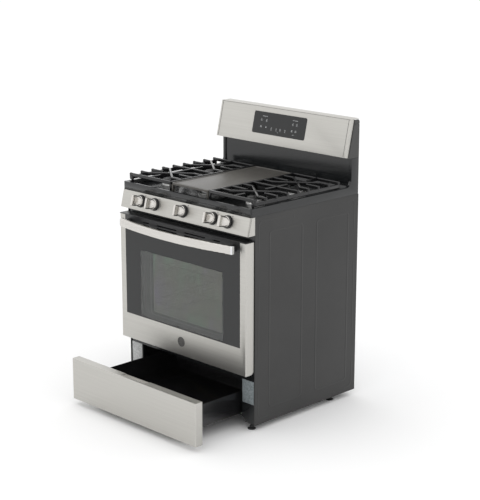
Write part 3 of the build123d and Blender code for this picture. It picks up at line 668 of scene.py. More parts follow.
heated_steel = finish(
    "heated_steel", (0.34, 0.30, 0.27), (0.17, 0.15, 0.16), 35, 500, (0.35, 0.55), 0.00003, Metallic=0.9
)
dress(heated_steel, "oven_burners")
ceramic = finish("ceramic", (0.74, 0.72, 0.67), (0.60, 0.58, 0.53), 70, 900, (0.25, 0.4), 0.00003)
dress(ceramic, "igniters")
lamp_glass, tree, shader = bare("lamp_glass", Transmission_Weight=0.85, Roughness=0.08, IOR=1.5)
place = wire(tree, "ShaderNodeTexCoord", {})["Object"]
cast = drifting(tree, place, (0.95, 0.94, 0.9), (0.82, 0.80, 0.74), 90)
tree.links.new(cast, shader.inputs["Base Color"])
low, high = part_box("oven_lamp")
lens = Vector(((low.x + high.x) / 2, high.y, (low.z + high.z) / 2))
deep = high.y - low.y
bm = bmesh.new()
profile = [
    (0, 0), (0.019, 0), (0.020, 0.002), (0.020, deep - 0.0115), (0.0278, deep - 0.0113),
    (0.028, deep - 0.0108), (0.028, deep - 0.0066), (0.0272, deep - 0.006)
]
for i in range(7):
    profile += [
        (0.0245 - 0.0035 * i, deep - 0.0048 + 0.0005 * i), (0.0230 - 0.0033 * i, deep - 0.0036 + 0.0005 * i)
    ]
lathe(bm, profile + [(0, deep)], lens, (0, -1, 0), steps=40)
settle("lamp_cover", bm, lamp_glass, "cabinet", "lamp_glass", "oven_lamp")

# ---- Cooktop ----------------------------------------------------------------
# The cooktop is one deep-drawn sheet: a well with a rolled rim, and at the rear two upswept
# sides round a riser that the backguard stands on. It is fired in gloss black enamel.

low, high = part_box("cooktop")
RIM_WIDTH = 0.014


def outer_rim(p):
    """The cooktop's outside corners and the top of its well, but not the folds underneath."""
    near_side = abs(abs(p.x) - high.x) < 0.0006 or abs(abs(p.x) - (high.x - RIM_WIDTH)) < 0.0006
    near_front = p.y < low.y + RIM_WIDTH - 0.0005
    return p.z > 0.9165 and (near_side or near_front or p.z > high.z - 0.001 or p.y > front + 0.53)


bm = rounded("cooktop", 0.0032, where=outer_rim, segments=4)
settle("cooktop_pressing", bm, black_enamel, "cabinet", "black_enamel", "cooktop", crease=40)

# ---- Burners ----------------------------------------------------------------
# Four round burners and one long oval one. Each is a cast aluminium head ringed with flame
# ports, drawn as small dark blocks of painted shade, under a loose cap in matt black enamel.

DECK = 0.895
BURNER_X = 0.250
BURNER_ROWS = (0.131, 0.373)
BURNER_SPOTS = [(side * BURNER_X, front + depth) for side in (-1, 1) for depth in BURNER_ROWS]
OVAL_SPOT = (0.0, front + 0.205)
OVAL_RUN, OVAL_HALF = 0.108, 0.030

cast_aluminium = finish(
    "cast_aluminium", (0.84, 0.84, 0.83), (0.66, 0.66, 0.65), 60, 800, (0.28, 0.42), 0.00006, Metallic=0.9
)
cap_enamel = finish(
    "cap_enamel", (0.016, 0.016, 0.017), (0.010, 0.010, 0.011), 50, 700, (0.34, 0.48), 0.00004
)
# A dead matt black, for the mask behind the door's window and for painted shade in the flame ports
matt_black_and_port_shade = finish("matt_black_and_port_shade", (0.010, 0.010, 0.010), (0.004, 0.004, 0.004), 200, 900, (0.7, 0.9), 0.00005)


def oval_ring(x, y, z, run, radius, steps=14):
    """A ring round an oval that is long in Y, or round a circle where run is 0."""
    ring = []
    for end in (1, -1):
        for i in range(steps + 1):
            a = math.pi * i / steps
            ring.append(Vector((x + end * radius * math.cos(a), y + end * (run + radius * math.sin(a)), z)))
    return ring


HEAD = (
    (0.881, -0.006), (DECK + 0.0002, -0.004), (DECK + 0.0004, 0.0), (0.9015, 0.0), (0.903, -0.0015),
    (0.9035, -0.008), (0.916, -0.0072), (0.9179, -0.008)
)
CAP = (
    (0.9178, -0.012), (0.9182, -0.0045), (0.9196, -0.0034), (0.9222, -0.0034), (0.9240, -0.0046),
    (0.9248, -0.0072), (0.9250, -0.014)
)
heads, caps, ports = bmesh.new(), bmesh.new(), bmesh.new()
for x, y, run, radius in [(*p, 0.0, 0.038) for p in BURNER_SPOTS] + [(*OVAL_SPOT, OVAL_RUN, OVAL_HALF)]:
    loft(heads, [oval_ring(x, y, z, run, radius + grow_by) for z, grow_by in HEAD])
    loft(caps, [oval_ring(x, y, z, run, radius + grow_by) for z, grow_by in CAP])
    # Small dark blocks set round the head's wall stand in for the ports: painted shade, not holes
    wall = radius - 0.0074
    rim = oval_ring(x, y, 0, run, wall, steps=18)
    for a, b in zip(rim, rim[1:] + rim[:1]):
        slots = max(1, round((b - a).length / 0.006))
        for i in range(slots):
            spot = a.lerp(b, (i + 0.5) / slots)
            way = (b - a).normalized()
            off = Vector((way.y, -way.x, 0)) * 0.0006
            corners = [
                spot - way * 0.0008, spot + way * 0.0008, spot + way * 0.0008 + off,
                spot - way * 0.0008 + off
            ]
            loft(ports, [[Vector((p.x, p.y, z)) for p in corners] for z in (0.9065, 0.9155)])
settle("burner_castings", faced(heads), cast_aluminium, "cabinet", "burner_metal", "burner_heads")
settle("flame_ports", faced(ports), matt_black_and_port_shade, "cabinet", "burner_metal")
settle("burner_lids", faced(caps), cap_enamel, "cabinet", "black_enamel", "burner_caps")

# ---- Gas train --------------------------------------------------------------
# Steel pipe brings the gas up the right side to a manifold behind the control panel, where
# brass valves feed aluminium tubes. The regulator is die-cast.

brass = finish("brass", (0.62, 0.48, 0.22), (0.46, 0.34, 0.15), 50, 600, (0.25, 0.4), 0.00002, Metallic=1.0)
dress(bright_steel, "gas_manifold")
dress(brass, "burner_valves", *[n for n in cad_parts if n.startswith("valve_collar")])
dress(cast_aluminium, "burner_tubes", "pressure_regulator")

# ---- Control panel ----------------------------------------------------------
# A folded strip of stainless steel, brushed from end to end, with a separate cap at each end.
# Small dark marks are printed above the knobs.

brushed_steel = finish(
    "brushed_steel", (0.545, 0.535, 0.505), (0.50, 0.49, 0.462), (1.5, 260, 260), (26, 1500, 1500),
    (0.38, 0.47), 0.000005, Metallic=1.0
)
refine("control_fascia", "control_panel", 0.0012, brushed_steel, "cabinet", "stainless")

KNOB_LINE = 0.850
panel_top, panel_foot = at(0, -0.022, 0.8827), at(0, -0.040, 0.811)
panel_up = (panel_top - panel_foot).normalized()
panel_out = Vector((0, -panel_up.z, panel_up.y))


def on_panel(x, up, out=0.0):
    """A point on the control panel's face, up its slope from the knobs' centre line."""
    share = (KNOB_LINE - panel_foot.z) / panel_up.z
    return Vector((x, 0, 0)) + panel_foot + panel_up * (share + up) + panel_out * out


def print_and_shade_patch(bm, corners, out):
    """A thin raised film over four or more corners of a flat face, for print and for painted seam shade."""
    loft(bm, [[p + out * 0.00002 for p in corners], [p + out * 0.00014 for p in corners]])


KNOB_X = (-0.258, -0.173, 0.0, 0.173, 0.258)
# Dark ink for the marks printed above the knobs, also used for strips of painted shade at seams and folds
ink_and_seam_shade = finish("ink_and_seam_shade", (0.022, 0.022, 0.022), (0.014, 0.014, 0.014), 200, 900, (0.5, 0.6), 0.00001)
bm = bmesh.new()
for k, x in enumerate(KNOB_X):
    for i in range(4):
        sx, sz = (-1, 1, 1, -1)[i], (-1, -1, 1, 1)[i]
        size = 0.0014 if i == k % 4 else 0.0007
        mid_x, mid_up = x + 0.024 + sx * 0.0022, 0.0265 + sz * 0.0016
        print_and_shade_patch(
            bm,
            [
                on_panel(mid_x + a * size, mid_up + b * size)
                for a, b in ((-1, -1), (1, -1), (1, 1), (-1, 1))
            ],
            panel_out
        )
settle("panel_marks", faced(bm), ink_and_seam_shade, "cabinet", "stainless")

# Thin dark strips of painted shade at the seams between the strip and each end cap, and under the cooktop's
# sides
low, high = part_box("control_panel")
bm = bmesh.new()
for side in (-1, 1):
    corners = []
    for up, back in ((-0.0385, 0.0030), (-0.0385, 0.0046), (0.0325, 0.0046), (0.0325, 0.0030)):
        spot = on_panel(0, up, -back)
        corners.append(Vector((side * high.x, spot.y, spot.z)))
    print_and_shade_patch(bm, corners, Vector((side, 0, 0)))
low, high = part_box("cooktop")
for side in (-1, 1):
    print_and_shade_patch(
        bm,
        [
            Vector((side * high.x, y, z))
            for y, z in (
                (front, 0.8834), (high.y - 0.002, 0.8834), (high.y - 0.002, 0.8850), (front, 0.8850)
            )
        ],
        Vector((side, 0, 0))
    )
settle("panel_seams", faced(bm), ink_and_seam_shade, "cabinet", "stainless")

# ---- Knobs ------------------------------------------------------------------
# Each knob is die-cast and satin plated: a stepped disc with a black skirt, and a tall grip bar
# scooped out of it. Its steel shaft runs into the valve. A thin black ring on the panel round
# each knob is painted shade, where the knob's shadow and dark reflection fall on the steel.

KNOB_FACE = 0.016

# The grip's outline on its way out: distance, half width, half height and how square it is.
# Both its sides are scooped, from nearly the whole disc down to the bar.
SCOOP = (
    (0.0152, 0.0206, 0.0206, 2.0), (0.0172, 0.0200, 0.0207, 2.0), (0.0188, 0.0186, 0.0210, 2.1),
    (0.0210, 0.0160, 0.0213, 2.3), (0.0240, 0.0132, 0.0216, 2.6), (0.0280, 0.0105, 0.0219, 3.1),
    (0.0330, 0.0081, 0.0222, 3.9), (0.0390, 0.0063, 0.0224, 5.0), (0.0450, 0.0055, 0.0225, 6.0),
    (0.0508, 0.0053, 0.0224, 6.0), (0.0522, 0.0046, 0.0217, 6.0), (0.0529, 0.0034, 0.0205, 6.0),
    (0.0530, 0.0018, 0.0188, 6.0)
)


def oval(wide, tall, square, steps=40):
    """Points round an ellipse that gets squarer as its power grows."""
    points = []
    for i in range(steps):
        turn = math.tau * (i + 0.5) / steps
        a, b = math.cos(turn), math.sin(turn)
        points.append((
            wide * math.copysign(abs(a) ** (2 / square), a), tall * math.copysign(abs(b) ** (2 / square), b)
        ))
    return points


knob_satin = finish(
    "knob_satin", (0.66, 0.64, 0.61), (0.58, 0.56, 0.53), 40, 300, (0.16, 0.27), 0.00001, Metallic=1.0
)
for place, x in zip(("left_front", "left_rear", "centre", "right_rear", "right_front"), KNOB_X):
    bm = bmesh.new()
    lathe(
        bm,
        [
            (0, -0.022), (0.004, -0.022), (0.004, 0.0042), (0.0238, 0.0042), (0.0245, 0.005),
            (0.0245, 0.0088), (0.0240, 0.0096), (0.0226, 0.0101), (0.0225, 0.0128), (0.0221, 0.0142),
            (0.0210, 0.0153), (0.0196, KNOB_FACE), (0.0176, KNOB_FACE), (0.0172, KNOB_FACE - 0.0007),
            (0.0160, KNOB_FACE - 0.0007), (0.0156, KNOB_FACE), (0, KNOB_FACE + 0.0004)
        ],
        on_panel(x, 0), panel_out, steps=56
    )
    loft(bm, [
        [on_panel(x + a, b, out) for a, b in oval(wide, tall, square)] for out, wide, tall, square in SCOOP
    ])
    settle(f"dial_{place}", faced(bm), knob_satin, f"knob_{place}", "knob_metal", f"knob_{place}", crease=30)
    skirt = bmesh.new()
    lathe(
        skirt,
        [
            (0.020, 0.0041), (0.0243, 0.0041), (0.0250, 0.0048), (0.0250, 0.0098), (0.0246, 0.0104),
            (0.0232, 0.0106), (0.020, 0.0106), (0.020, 0.0041)
        ],
        on_panel(x, 0), panel_out, steps=56
    )
    settle(f"skirt_{place}", faced(skirt), black_plastic, f"knob_{place}", "black_plastic", crease=30)

# A thin black ring on the panel round each knob: painted shade of the knob's shadow and dark reflection
painted_shadow_rings = bmesh.new()
for x in KNOB_X:
    lathe(
        painted_shadow_rings,
        [
            (0.012, 0.00004), (0.0268, 0.00004), (0.0268, 0.00020), (0.0262, 0.00030), (0.012, 0.00030),
            (0.012, 0.00004)
        ],
        on_panel(x, 0), panel_out, steps=56
    )
settle("knob_seats", faced(painted_shadow_rings), black_plastic, "cabinet", "black_plastic", crease=30)

# ---- Grates -----------------------------------------------------------------
# Two grates of cast iron meet at the griddle. Their fingers have the draft and the soft edges
# of a sand casting, under a fired coat of satin black.

FINGER = 0.010
GRATE_TOP, GRATE_UNDER, SIDE_UNDER = 0.950, 0.936, 0.922
ROW = 0.0605
GRATE_IN, GRATE_OUT = 0.117, 0.367
FRONT_BAR, REAR_BAR = 0.010, 0.494
ELBOW, STUB = 0.075, 0.055

cast_iron = finish(
    "cast_iron", (0.010, 0.010, 0.011), (0.006, 0.006, 0.0065), 60, 650, (0.13, 0.22), 0.00004,
    Specular_IOR_Level=0.5
)


def cast_bar(bm, start, end, low, high, width=FINGER):
    """A cast bar between two points of (x, depth), with draft on its sides and soft upper edges."""
    a, b = at(start[0], start[1], 0), at(end[0], end[1], 0)
    heading = math.atan2(b.y - a.y, b.x - a.x)
    rings = []
    for z, inset in (
        (low, 0.0022), (low + 0.0012, 0.0011), (low + 0.003, 0.0008), (high - 0.004, 0.0),
        (high - 0.0016, 0.0005), (high - 0.0004, 0.0016), (high, 0.0032)
    ):
        reach = width / 2 - inset
        ring = []
        for centre, turn in ((b, -math.pi / 2), (a, math.pi / 2)):
            for i in range(7):
                angle = heading + turn + math.pi * i / 6
                ring.append(Vector((
                    centre.x + reach * math.cos(angle), centre.y + reach * math.sin(angle), z
                )))
        rings.append(ring)
    loft(bm, rings)


for side, hand in ((-1, "left"), (1, "right")):
    bm = bmesh.new()
    inner, outer, mid = side * GRATE_IN, side * GRATE_OUT, side * BURNER_X
    bars = [((inner, y), (outer, y)) for y in (FRONT_BAR, (FRONT_BAR + REAR_BAR) / 2, REAR_BAR)]
    bars.append(((inner, FRONT_BAR), (inner, REAR_BAR)))
    tips = [FRONT_BAR, (FRONT_BAR + REAR_BAR) / 2, REAR_BAR]
    for y in BURNER_ROWS:
        for turn in (-1, 1):
            row, back = y + turn * ROW, y - turn * ROW
            tips.append(row)
            bars += [
                ((inner, row), (mid - side * ELBOW, row)),
                ((mid - side * ELBOW, row), (mid + side * ELBOW, back)),
                ((mid + side * ELBOW, row), (outer, row)),
                ((mid, y + turn * 2 * ROW), (mid, y + turn * 0.062))
            ]
        tips.append(y)
        bars += [((inner, y), (mid - side * STUB, y)), ((mid + side * STUB, y), (outer, y))]
    for start, end in bars:
        cast_bar(bm, start, end, GRATE_UNDER, GRATE_TOP)
    cast_bar(bm, (outer, FRONT_BAR), (outer, REAR_BAR), SIDE_UNDER, GRATE_UNDER + 0.002)
    for y in tips:
        cast_bar(bm, (outer, y), (outer - side * 0.004, y), SIDE_UNDER + 0.002, GRATE_TOP, FINGER + 0.002)
    for x in (inner, outer - side * 0.010):
        for y in (FRONT_BAR, REAR_BAR):
            lathe(
                bm,
                [
                    (0, DECK + 0.0003), (0.0038, DECK + 0.0003), (0.0046, DECK + 0.0015), (0.0048, 0.906),
                    (0.0056, 0.928), (0.0064, GRATE_UNDER + 0.004), (0, GRATE_UNDER + 0.004)
                ],
                at(x, y, 0), steps=16
            )
    settle(
        f"cast_grate_{hand}", faced(bm), cast_iron, f"grate_{hand}", "cast_iron", f"grate_{hand}", crease=50
    )

# ---- Griddle ----------------------------------------------------------------
# A flat cast plate with a low rim and a shallow grease channel, coated warm grey. It bridges
# the two grates and stands on four short legs.

low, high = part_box("griddle")
griddle_coat = finish(
    "griddle_coat", (0.070, 0.065, 0.057), (0.052, 0.048, 0.043), 6, 1100, (0.30, 0.42), 0.00005
)
middle = (low + high) / 2
half_x, half_y = (high.x - low.x) / 2, (high.y - low.y) / 2
bm = bmesh.new()
rings = []
for z, inset in (
    (0.9370, 0.003), (0.9385, 0.0006), (0.9450, 0.0), (0.9464, 0.0006), (0.9470, 0.0020), (0.9470, 0.0046),
    (0.9464, 0.0060), (0.9452, 0.0068), (0.9441, 0.0082), (0.9438, 0.0100), (0.9441, 0.0122),
    (0.9450, 0.0146), (0.9453, 0.0170)
):
    outline = round_corner(half_x - inset, half_y - inset, max(0.002, 0.010 - inset * 0.4), steps=6)
    rings.append([Vector((middle.x + x, middle.y + y, z)) for x, y in outline])
loft(bm, rings)
for x in (low.x + 0.0045, high.x - 0.0045):
    for y in (low.y + 0.006, high.y - 0.006):
        outline = [
            round_corner(0.0044 + grown, 0.0058 + grown, 0.002, steps=3)
            for grown in (-0.001, 0.0, 0.0, 0.0)
        ]
        loft(bm, [
            [Vector((x + a, y + b, z)) for a, b in ring]
            for ring, z in zip(outline, (0.8953, 0.8968, 0.920, 0.938))
        ])
settle("griddle_plate", faced(bm), griddle_coat, "griddle", "griddle_coat", "griddle")

# ---- Backguard --------------------------------------------------------------
# A folded stainless cover leans back over the riser and runs on over the top. A dark cheek
# closes each end, with a small cap let into its upper corner.

refine("backguard_cover", "backguard_panel", 0.0010, brushed_steel, "cabinet", "stainless")
dress(
    finish("board_green", (0.030, 0.13, 0.065), (0.015, 0.075, 0.035), 300, 900, (0.3, 0.45), 0.00005),
    "control_board"
)

CHEEK_FOOT, CHEEK_HEAD = (0.541, 1.040), (0.577, 1.196)
CAP_SEAM = 1.178
SEAM_HALF = 0.0006


def cheek_front(z):
    """Depth of a cheek's sloping front edge."""
    share = (z - CHEEK_FOOT[1]) / (CHEEK_HEAD[1] - CHEEK_FOOT[1])
    return CHEEK_FOOT[0] + share * (CHEEK_HEAD[0] - CHEEK_FOOT[0])


cheek_paint = finish(
    "cheek_paint", (0.040, 0.040, 0.0395), (0.033, 0.033, 0.0327), 4, 330, (0.30, 0.40), 0.00002
)
low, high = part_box("backguard_ends")
below = [
    (0.562, 1.0373), CHEEK_FOOT, (cheek_front(CAP_SEAM - SEAM_HALF), CAP_SEAM - SEAM_HALF),
    (0.606, CAP_SEAM - SEAM_HALF), (0.606, 1.0373)
]
above = [
    (cheek_front(CAP_SEAM + SEAM_HALF), CAP_SEAM + SEAM_HALF), CHEEK_HEAD, (0.598, 1.196), (0.604, 1.192),
    (0.606, 1.186), (0.606, CAP_SEAM + SEAM_HALF)
]
bm = bmesh.new()
for side in (-1, 1):
    for outline in (below, above):
        mid_y = sum(y for y, z in outline) / len(outline)
        mid_z = sum(z for y, z in outline) / len(outline)
        loft(bm, [
            [
                at(side * x, y + math.copysign(inset, mid_y - y), z + math.copysign(inset, mid_z - z))
                for y, z in outline
            ]
            for x, inset in ((high.x - 0.0021, 0), (high.x - 0.0005, 0), (high.x, 0.0005))
        ])
settle("backguard_cheeks", faced(bm), cheek_paint, "cabinet", "side_paint", "backguard_ends")

# ---- Touch panel ------------------------------------------------------------
# A plate of black glass with round corners lies on the backguard. Its touch spots are small
# plain signs printed pale grey: rings, bars, dashes and one arrow.

low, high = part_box("touch_glass")
guard_foot, guard_head = at(0, 0.519, 1.045), at(0, 0.555, 1.200)
guard_up = (guard_head - guard_foot).normalized()
guard_out = Vector((0, -guard_up.z, guard_up.y))
GLASS_PROUD = 0.0005


def on_guard(x, z, out=0.0):
    """A point on the backguard's face at a height, and a little way out from it."""
    return Vector((x, 0, 0)) + guard_foot + guard_up * ((z - guard_foot.z) / guard_up.z) + guard_out * out


def skinned(rings):
    """One shape skinned over a row of rings."""
    bm = bmesh.new()
    loft(bm, rings)
    return faced(bm)


black_glass = finish(
    "black_glass", (0.0100, 0.0108, 0.0112), (0.0085, 0.0092, 0.0096), 5, 40, (0.012, 0.03), 0.0000005,
    IOR=1.47
)
mid_x, mid_z = (low.x + high.x) / 2, (low.z + high.z) / 2
half_x, half_z = (high.x - low.x) / 2 + 0.0014, (high.z - low.z) / 2 + 0.0014
settle(
    "touch_plate",
    skinned([
        [
            on_guard(mid_x + x, mid_z + z, out)
            for x, z in round_corner(half_x - inset, half_z - inset, 0.0090, steps=6)
        ]
        for out, inset in ((-0.0035, 0.004), (0.0, 0.0), (GLASS_PROUD - 0.0002, 0.0), (GLASS_PROUD, 0.0003))
    ]),
    black_glass, "cabinet", "black_glass", "touch_glass", crease=25
)

pale_print = finish("pale_print", (0.60, 0.61, 0.62), (0.50, 0.51, 0.52), 300, 900, (0.4, 0.5), 0.00001)
bm = bmesh.new()


def sign(points):
    """Prints one small flat sign of (x, z) corners on the glass."""
    print_and_shade_patch(bm, [on_guard(x, z, GLASS_PROUD) for x, z in points], guard_out)


def ring_sign(x, z, radius, start=0, end=360):
    """Prints a thin ring, or part of one."""
    steps = 10
    for i in range(steps):
        a, b = (math.radians(start + (end - start) * (i + k) / steps) for k in (0, 1))
        sign([
            (x + r * math.cos(t), z + r * math.sin(t))
            for r, t in ((radius, a), (radius, b), (radius - 0.0009, b), (radius - 0.0009, a))
        ])


def bar_sign(x, z, wide, tall=0.0009):
    """Prints a short bar."""
    sign([
        (x - wide / 2, z - tall / 2), (x + wide / 2, z - tall / 2), (x + wide / 2, z + tall / 2),
        (x - wide / 2, z + tall / 2)
    ])


for x, z in ((-0.117, 1.142), (-0.087, 1.142), (0.067, 1.142), (0.090, 1.142)):
    ring_sign(x, z, 0.0052, 40, 320)
    bar_sign(x, z - 0.0002, 0.0050, 0.0012)
for x, z in ((-0.117, 1.115), (0.065, 1.115), (0.087, 1.115)):
    for step in range(3):
        bar_sign(x, z - 0.0030 + 0.0030 * step, 0.0088 - 0.0014 * step, 0.0013)
sign([(-0.091, 1.112), (-0.083, 1.112), (-0.087, 1.118)])
for x, z in ((-0.100, 1.159), (0.077, 1.159)):
    for dash in range(6):
        bar_sign(x - 0.0125 + 0.005 * dash, z, 0.0038, 0.0018)
for x in (-0.055, -0.025, -0.002, 0.026):
    ring_sign(x, 1.112, 0.0036)
    bar_sign(x, 1.1050, 0.0064, 0.0011)
ring_sign(-0.015, 1.102, 0.0034, 200, 340)
ring_sign(0.075, 1.107, 0.009, 235, 305)
settle("touch_signs", faced(bm), pale_print, "cabinet", "black_glass")

# Thin dark strips of painted shade on the cover's face, along its two end folds and along its top
bm = bmesh.new()
for x in (-0.367, 0.367):
    print_and_shade_patch(
        bm,
        [
            on_guard(x + a, z)
            for a, z in ((-0.0010, 1.0475), (0.0010, 1.0475), (0.0010, 1.1975), (-0.0010, 1.1975))
        ],
        guard_out
    )
print_and_shade_patch(
    bm,
    [on_guard(x, z) for x, z in ((-0.3745, 1.1968), (0.3745, 1.1968), (0.3745, 1.1980), (-0.3745, 1.1980))],
    guard_out
)
settle("cover_seams", faced(bm), ink_and_seam_shade, "cabinet", "stainless")

# ---- Oven door --------------------------------------------------------------
# The door's shell is one folded stainless sheet round a black glass. The glass is printed
# black except for its window, behind which a coated film and an inner pane keep the heat in.

refine("door_shell", "door_outer_panel", 0.0010, brushed_steel, "door", "stainless")


def upright(outline, y, z):
    """An outline of (x, z) as points at one Y, about a height."""
    return [Vector((x, y, z + up)) for x, up in outline]


low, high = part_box("door_glass")
WINDOW = (0.247, 0.360, 0.646)
mid_z = (low.z + high.z) / 2
window_z = (WINDOW[1] + WINDOW[2]) / 2
outer = round_corner(high.x, (high.z - low.z) / 2, 0.0008, steps=4)
hole = round_corner(WINDOW[0], (WINDOW[2] - WINDOW[1]) / 2, 0.006, steps=4)
rings = [upright(outer, y, mid_z) for y in (high.y, low.y)]
rings += [upright(hole, y, window_z) for y in (low.y, high.y)]
settle(
    "printed_glass", skinned(rings + rings[:1]), black_glass, "door", "black_glass", "door_glass", crease=25
)

window_glass, tree, shader = bare("window_glass", Transmission_Weight=1.0, Roughness=0.0, IOR=1.5)
place = wire(tree, "ShaderNodeTexCoord", {})["Object"]
tint = drifting(tree, place, (0.80, 0.84, 0.80), (0.76, 0.80, 0.78), 4)
tree.links.new(tint, shader.inputs["Base Color"])
pane = round_corner(WINDOW[0] - 0.0001, (WINDOW[2] - WINDOW[1]) / 2 - 0.0001, 0.006, steps=4)
settle(
    "window_pane", skinned([upright(pane, y, window_z) for y in (high.y, low.y)]), window_glass, "door",
    "clear_glass", crease=25
)

# The film's colours run in broad slanting bands, green, mauve and brown
heat_film, tree, shader = bare("heat_film", Metallic=1.0, Roughness=0.1, Alpha=0.62)
place = wire(tree, "ShaderNodeTexCoord", {})["Object"]
slanted = wire(tree, "ShaderNodeMapping", {
    "Vector": place, "Rotation": (0, -0.42, 0), "Scale": (21.0, 1.0, 5.5)
})
bands = wire(tree, "ShaderNodeTexNoise", {"Vector": slanted[0], "Scale": 1.0, "Detail": 2.0})
green_share = wire(tree, "ShaderNodeMapRange", {"Value": bands[0], "From Min": 0.53, "From Max": 0.68})
mauve_share = wire(tree, "ShaderNodeMapRange", {"Value": bands[0], "From Min": 0.45, "From Max": 0.33})
green = blend(tree, green_share[0], (0.090, 0.082, 0.064, 1), (0.060, 0.150, 0.085, 1))
sheen = blend(tree, mauve_share[0], green, (0.115, 0.085, 0.155, 1))
tree.links.new(sheen, shader.inputs["Base Color"])
film_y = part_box("door_inner_glass")[0].y - 0.0008
film_z = window_z + 0.006
film = round_corner(WINDOW[0] - 0.040, (WINDOW[2] - WINDOW[1]) / 2 - 0.012, 0.010, steps=4)
settle(
    "heat_reflecting_film", skinned([upright(film, y, film_z) for y in (film_y, film_y - 0.0003)]),
    heat_film, "door", "clear_glass", crease=25
)

# A matt black mask surrounds the film, and a thin bead of wire holds it down
wide = round_corner(WINDOW[0] + 0.020, (WINDOW[2] - WINDOW[1]) / 2 + 0.020, 0.010, steps=4)
rings = [upright(wide, film_y - y, window_z) for y in (0.0008, 0.0013)]
rings += [upright(film, film_y - y, film_z) for y in (0.0013, 0.0008)]
settle("film_mask", skinned(rings + rings[:1]), matt_black_and_port_shade, "door", "black_frame", crease=25)
rings = []
for inset, y in ((0.0, 0.0), (0.0, 0.0016), (0.0016, 0.0016), (0.0016, 0.0)):
    outline = round_corner(
        WINDOW[0] - 0.024 - inset, (WINDOW[2] - WINDOW[1]) / 2 - 0.005 - inset, 0.016, steps=5
    )
    rings.append(upright(outline, film_y - 0.0030 - y, window_z))
settle("film_bead", skinned(rings + rings[:1]), black_zinc, "door", "pipe_steel", crease=25)
dress(window_glass, "door_inner_glass")

refine("vent_trim", "door_vent_trim", 0.0006, black_plastic, "door", "black_plastic")
refine("door_lining", "door_inner_panel", 0.0009, black_enamel, "door", "black_enamel")
dress(zinc, "door_hinges")

# Eight screws hold the lining into the shell
low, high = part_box("door_inner_panel")
spots = [(x, high.y, z) for x in (-0.345, -0.115, 0.115, 0.345) for z in (0.300, 0.765)]
settle(
    "lining_screws", repeated(screw_head(0.0034), spots, (0, 1, 0), black_zinc), black_zinc, "door",
    "pipe_steel"
)

# ---- Door handle ------------------------------------------------------------
# A bowed bar of brushed stainless stands on two black brackets, with a polished cap at each
# end. A plain turned disc sits below the glass.

handle_steel = finish(
    "handle_steel", (0.66, 0.64, 0.61), (0.60, 0.58, 0.555), (2, 200, 200), (30, 1200, 1200), (0.18, 0.30),
    0.000012, Metallic=1.0
)
refine("handle_bar", "door_handle", 0.0014, handle_steel, "door", "stainless", crease=30)
# Each end of the bar is closed by a polished cap
chrome = finish(
    "chrome", (0.78, 0.79, 0.81), (0.72, 0.73, 0.75), 60, 300, (0.05, 0.1), 0.000002, Metallic=1.0
)
low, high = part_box("door_handle")
bar_end = [v.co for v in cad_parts["door_handle"].data.vertices if v.co.x > high.x - 0.0002]
end_y = [min(p.y for p in bar_end), max(p.y for p in bar_end)]
half_y, half_z = (end_y[1] - end_y[0]) / 2 + 0.0005, (high.z - low.z) / 2 + 0.0005
mid_y, mid_z = sum(end_y) / 2, (low.z + high.z) / 2
bm = bmesh.new()
for side in (-1, 1):
    loft(bm, [
        [
            Vector((side * (high.x + out), mid_y + y, mid_z + z))
            for y, z in round_corner(half_y - inset, half_z - inset, 0.0046 - inset, steps=5)
        ]
        for out, inset in (
            (-0.0090, 0.0006), (-0.0085, 0), (-0.0010, 0), (0.0005, 0.0005), (0.0014, 0.0018),
            (0.0017, 0.0034)
        )
    ])
settle("handle_caps", faced(bm), chrome, "door", "stainless", crease=25)
refine("handle_posts", "handle_brackets", 0.0012, black_plastic, "door", "black_plastic")

low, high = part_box("door_badge")
disc = Vector(((low.x + high.x) / 2, high.y, (low.z + high.z) / 2))
radius = (high.x - low.x) / 2
badge_satin = finish(
    "badge_satin", (0.20, 0.198, 0.192), (0.12, 0.118, 0.115), 160, 700, (0.25, 0.4), 0.00004, Metallic=1.0
)
bm = bmesh.new()
lathe(
    bm,
    [
        (0, 0), (radius, 0), (radius, 0.0007), (radius - 0.0006, 0.0012), (radius - 0.0018, 0.0012),
        (radius - 0.0024, 0.0006), (radius - 0.0040, 0.0005), (0, 0.0010)
    ],
    disc, (0, -1, 0), steps=64
)
settle("plain_disc", bm, badge_satin, "door", "badge", "door_badge", crease=30)

# ---- Storage drawer ---------------------------------------------------------
# A stainless front folded back at every edge, with a finger scoop in its top, and behind it a
# black painted box that rolls on the nylon glides.

refine("drawer_face", "drawer_front", 0.0009, brushed_steel, "drawer", "stainless")
low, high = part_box("drawer_front")
SCOOP_HALF, SCOOP_FRONT = 0.0748, 0.0112
# The scoop takes the brighter handle steel, a painted highlight that makes it show lighter than the face
# round it
settle(
    "finger_scoop",
    skinned([
        [
            Vector((x, low.y + SCOOP_FRONT, high.z - 0.0012 - drop)),
            Vector((x, high.y - 0.0002, high.z - 0.0026 - drop)),
            Vector((x, high.y - 0.0002, high.z - 0.0034 - drop)),
            Vector((x, low.y + SCOOP_FRONT, high.z - 0.0020 - drop))
        ]
        for x, drop in (
            (-SCOOP_HALF, -0.0010), (-SCOOP_HALF + 0.006, 0), (SCOOP_HALF - 0.006, 0), (SCOOP_HALF, -0.0010)
        )
    ]),
    handle_steel, "drawer", "stainless", crease=20
)
refine("drawer_tray", "drawer_box", 0.0006, black_paint, "drawer", "black_frame", segments=2)

# ---- Oven racks -------------------------------------------------------------
# Each rack is round wire, spot welded and nickel plated: a heavy frame with one cross bar, and
# thinner wires laid over it from front to back.

FRAME_WIRE, CROSS_WIRE, WIRE_PITCH = 0.003, 0.002, 0.030

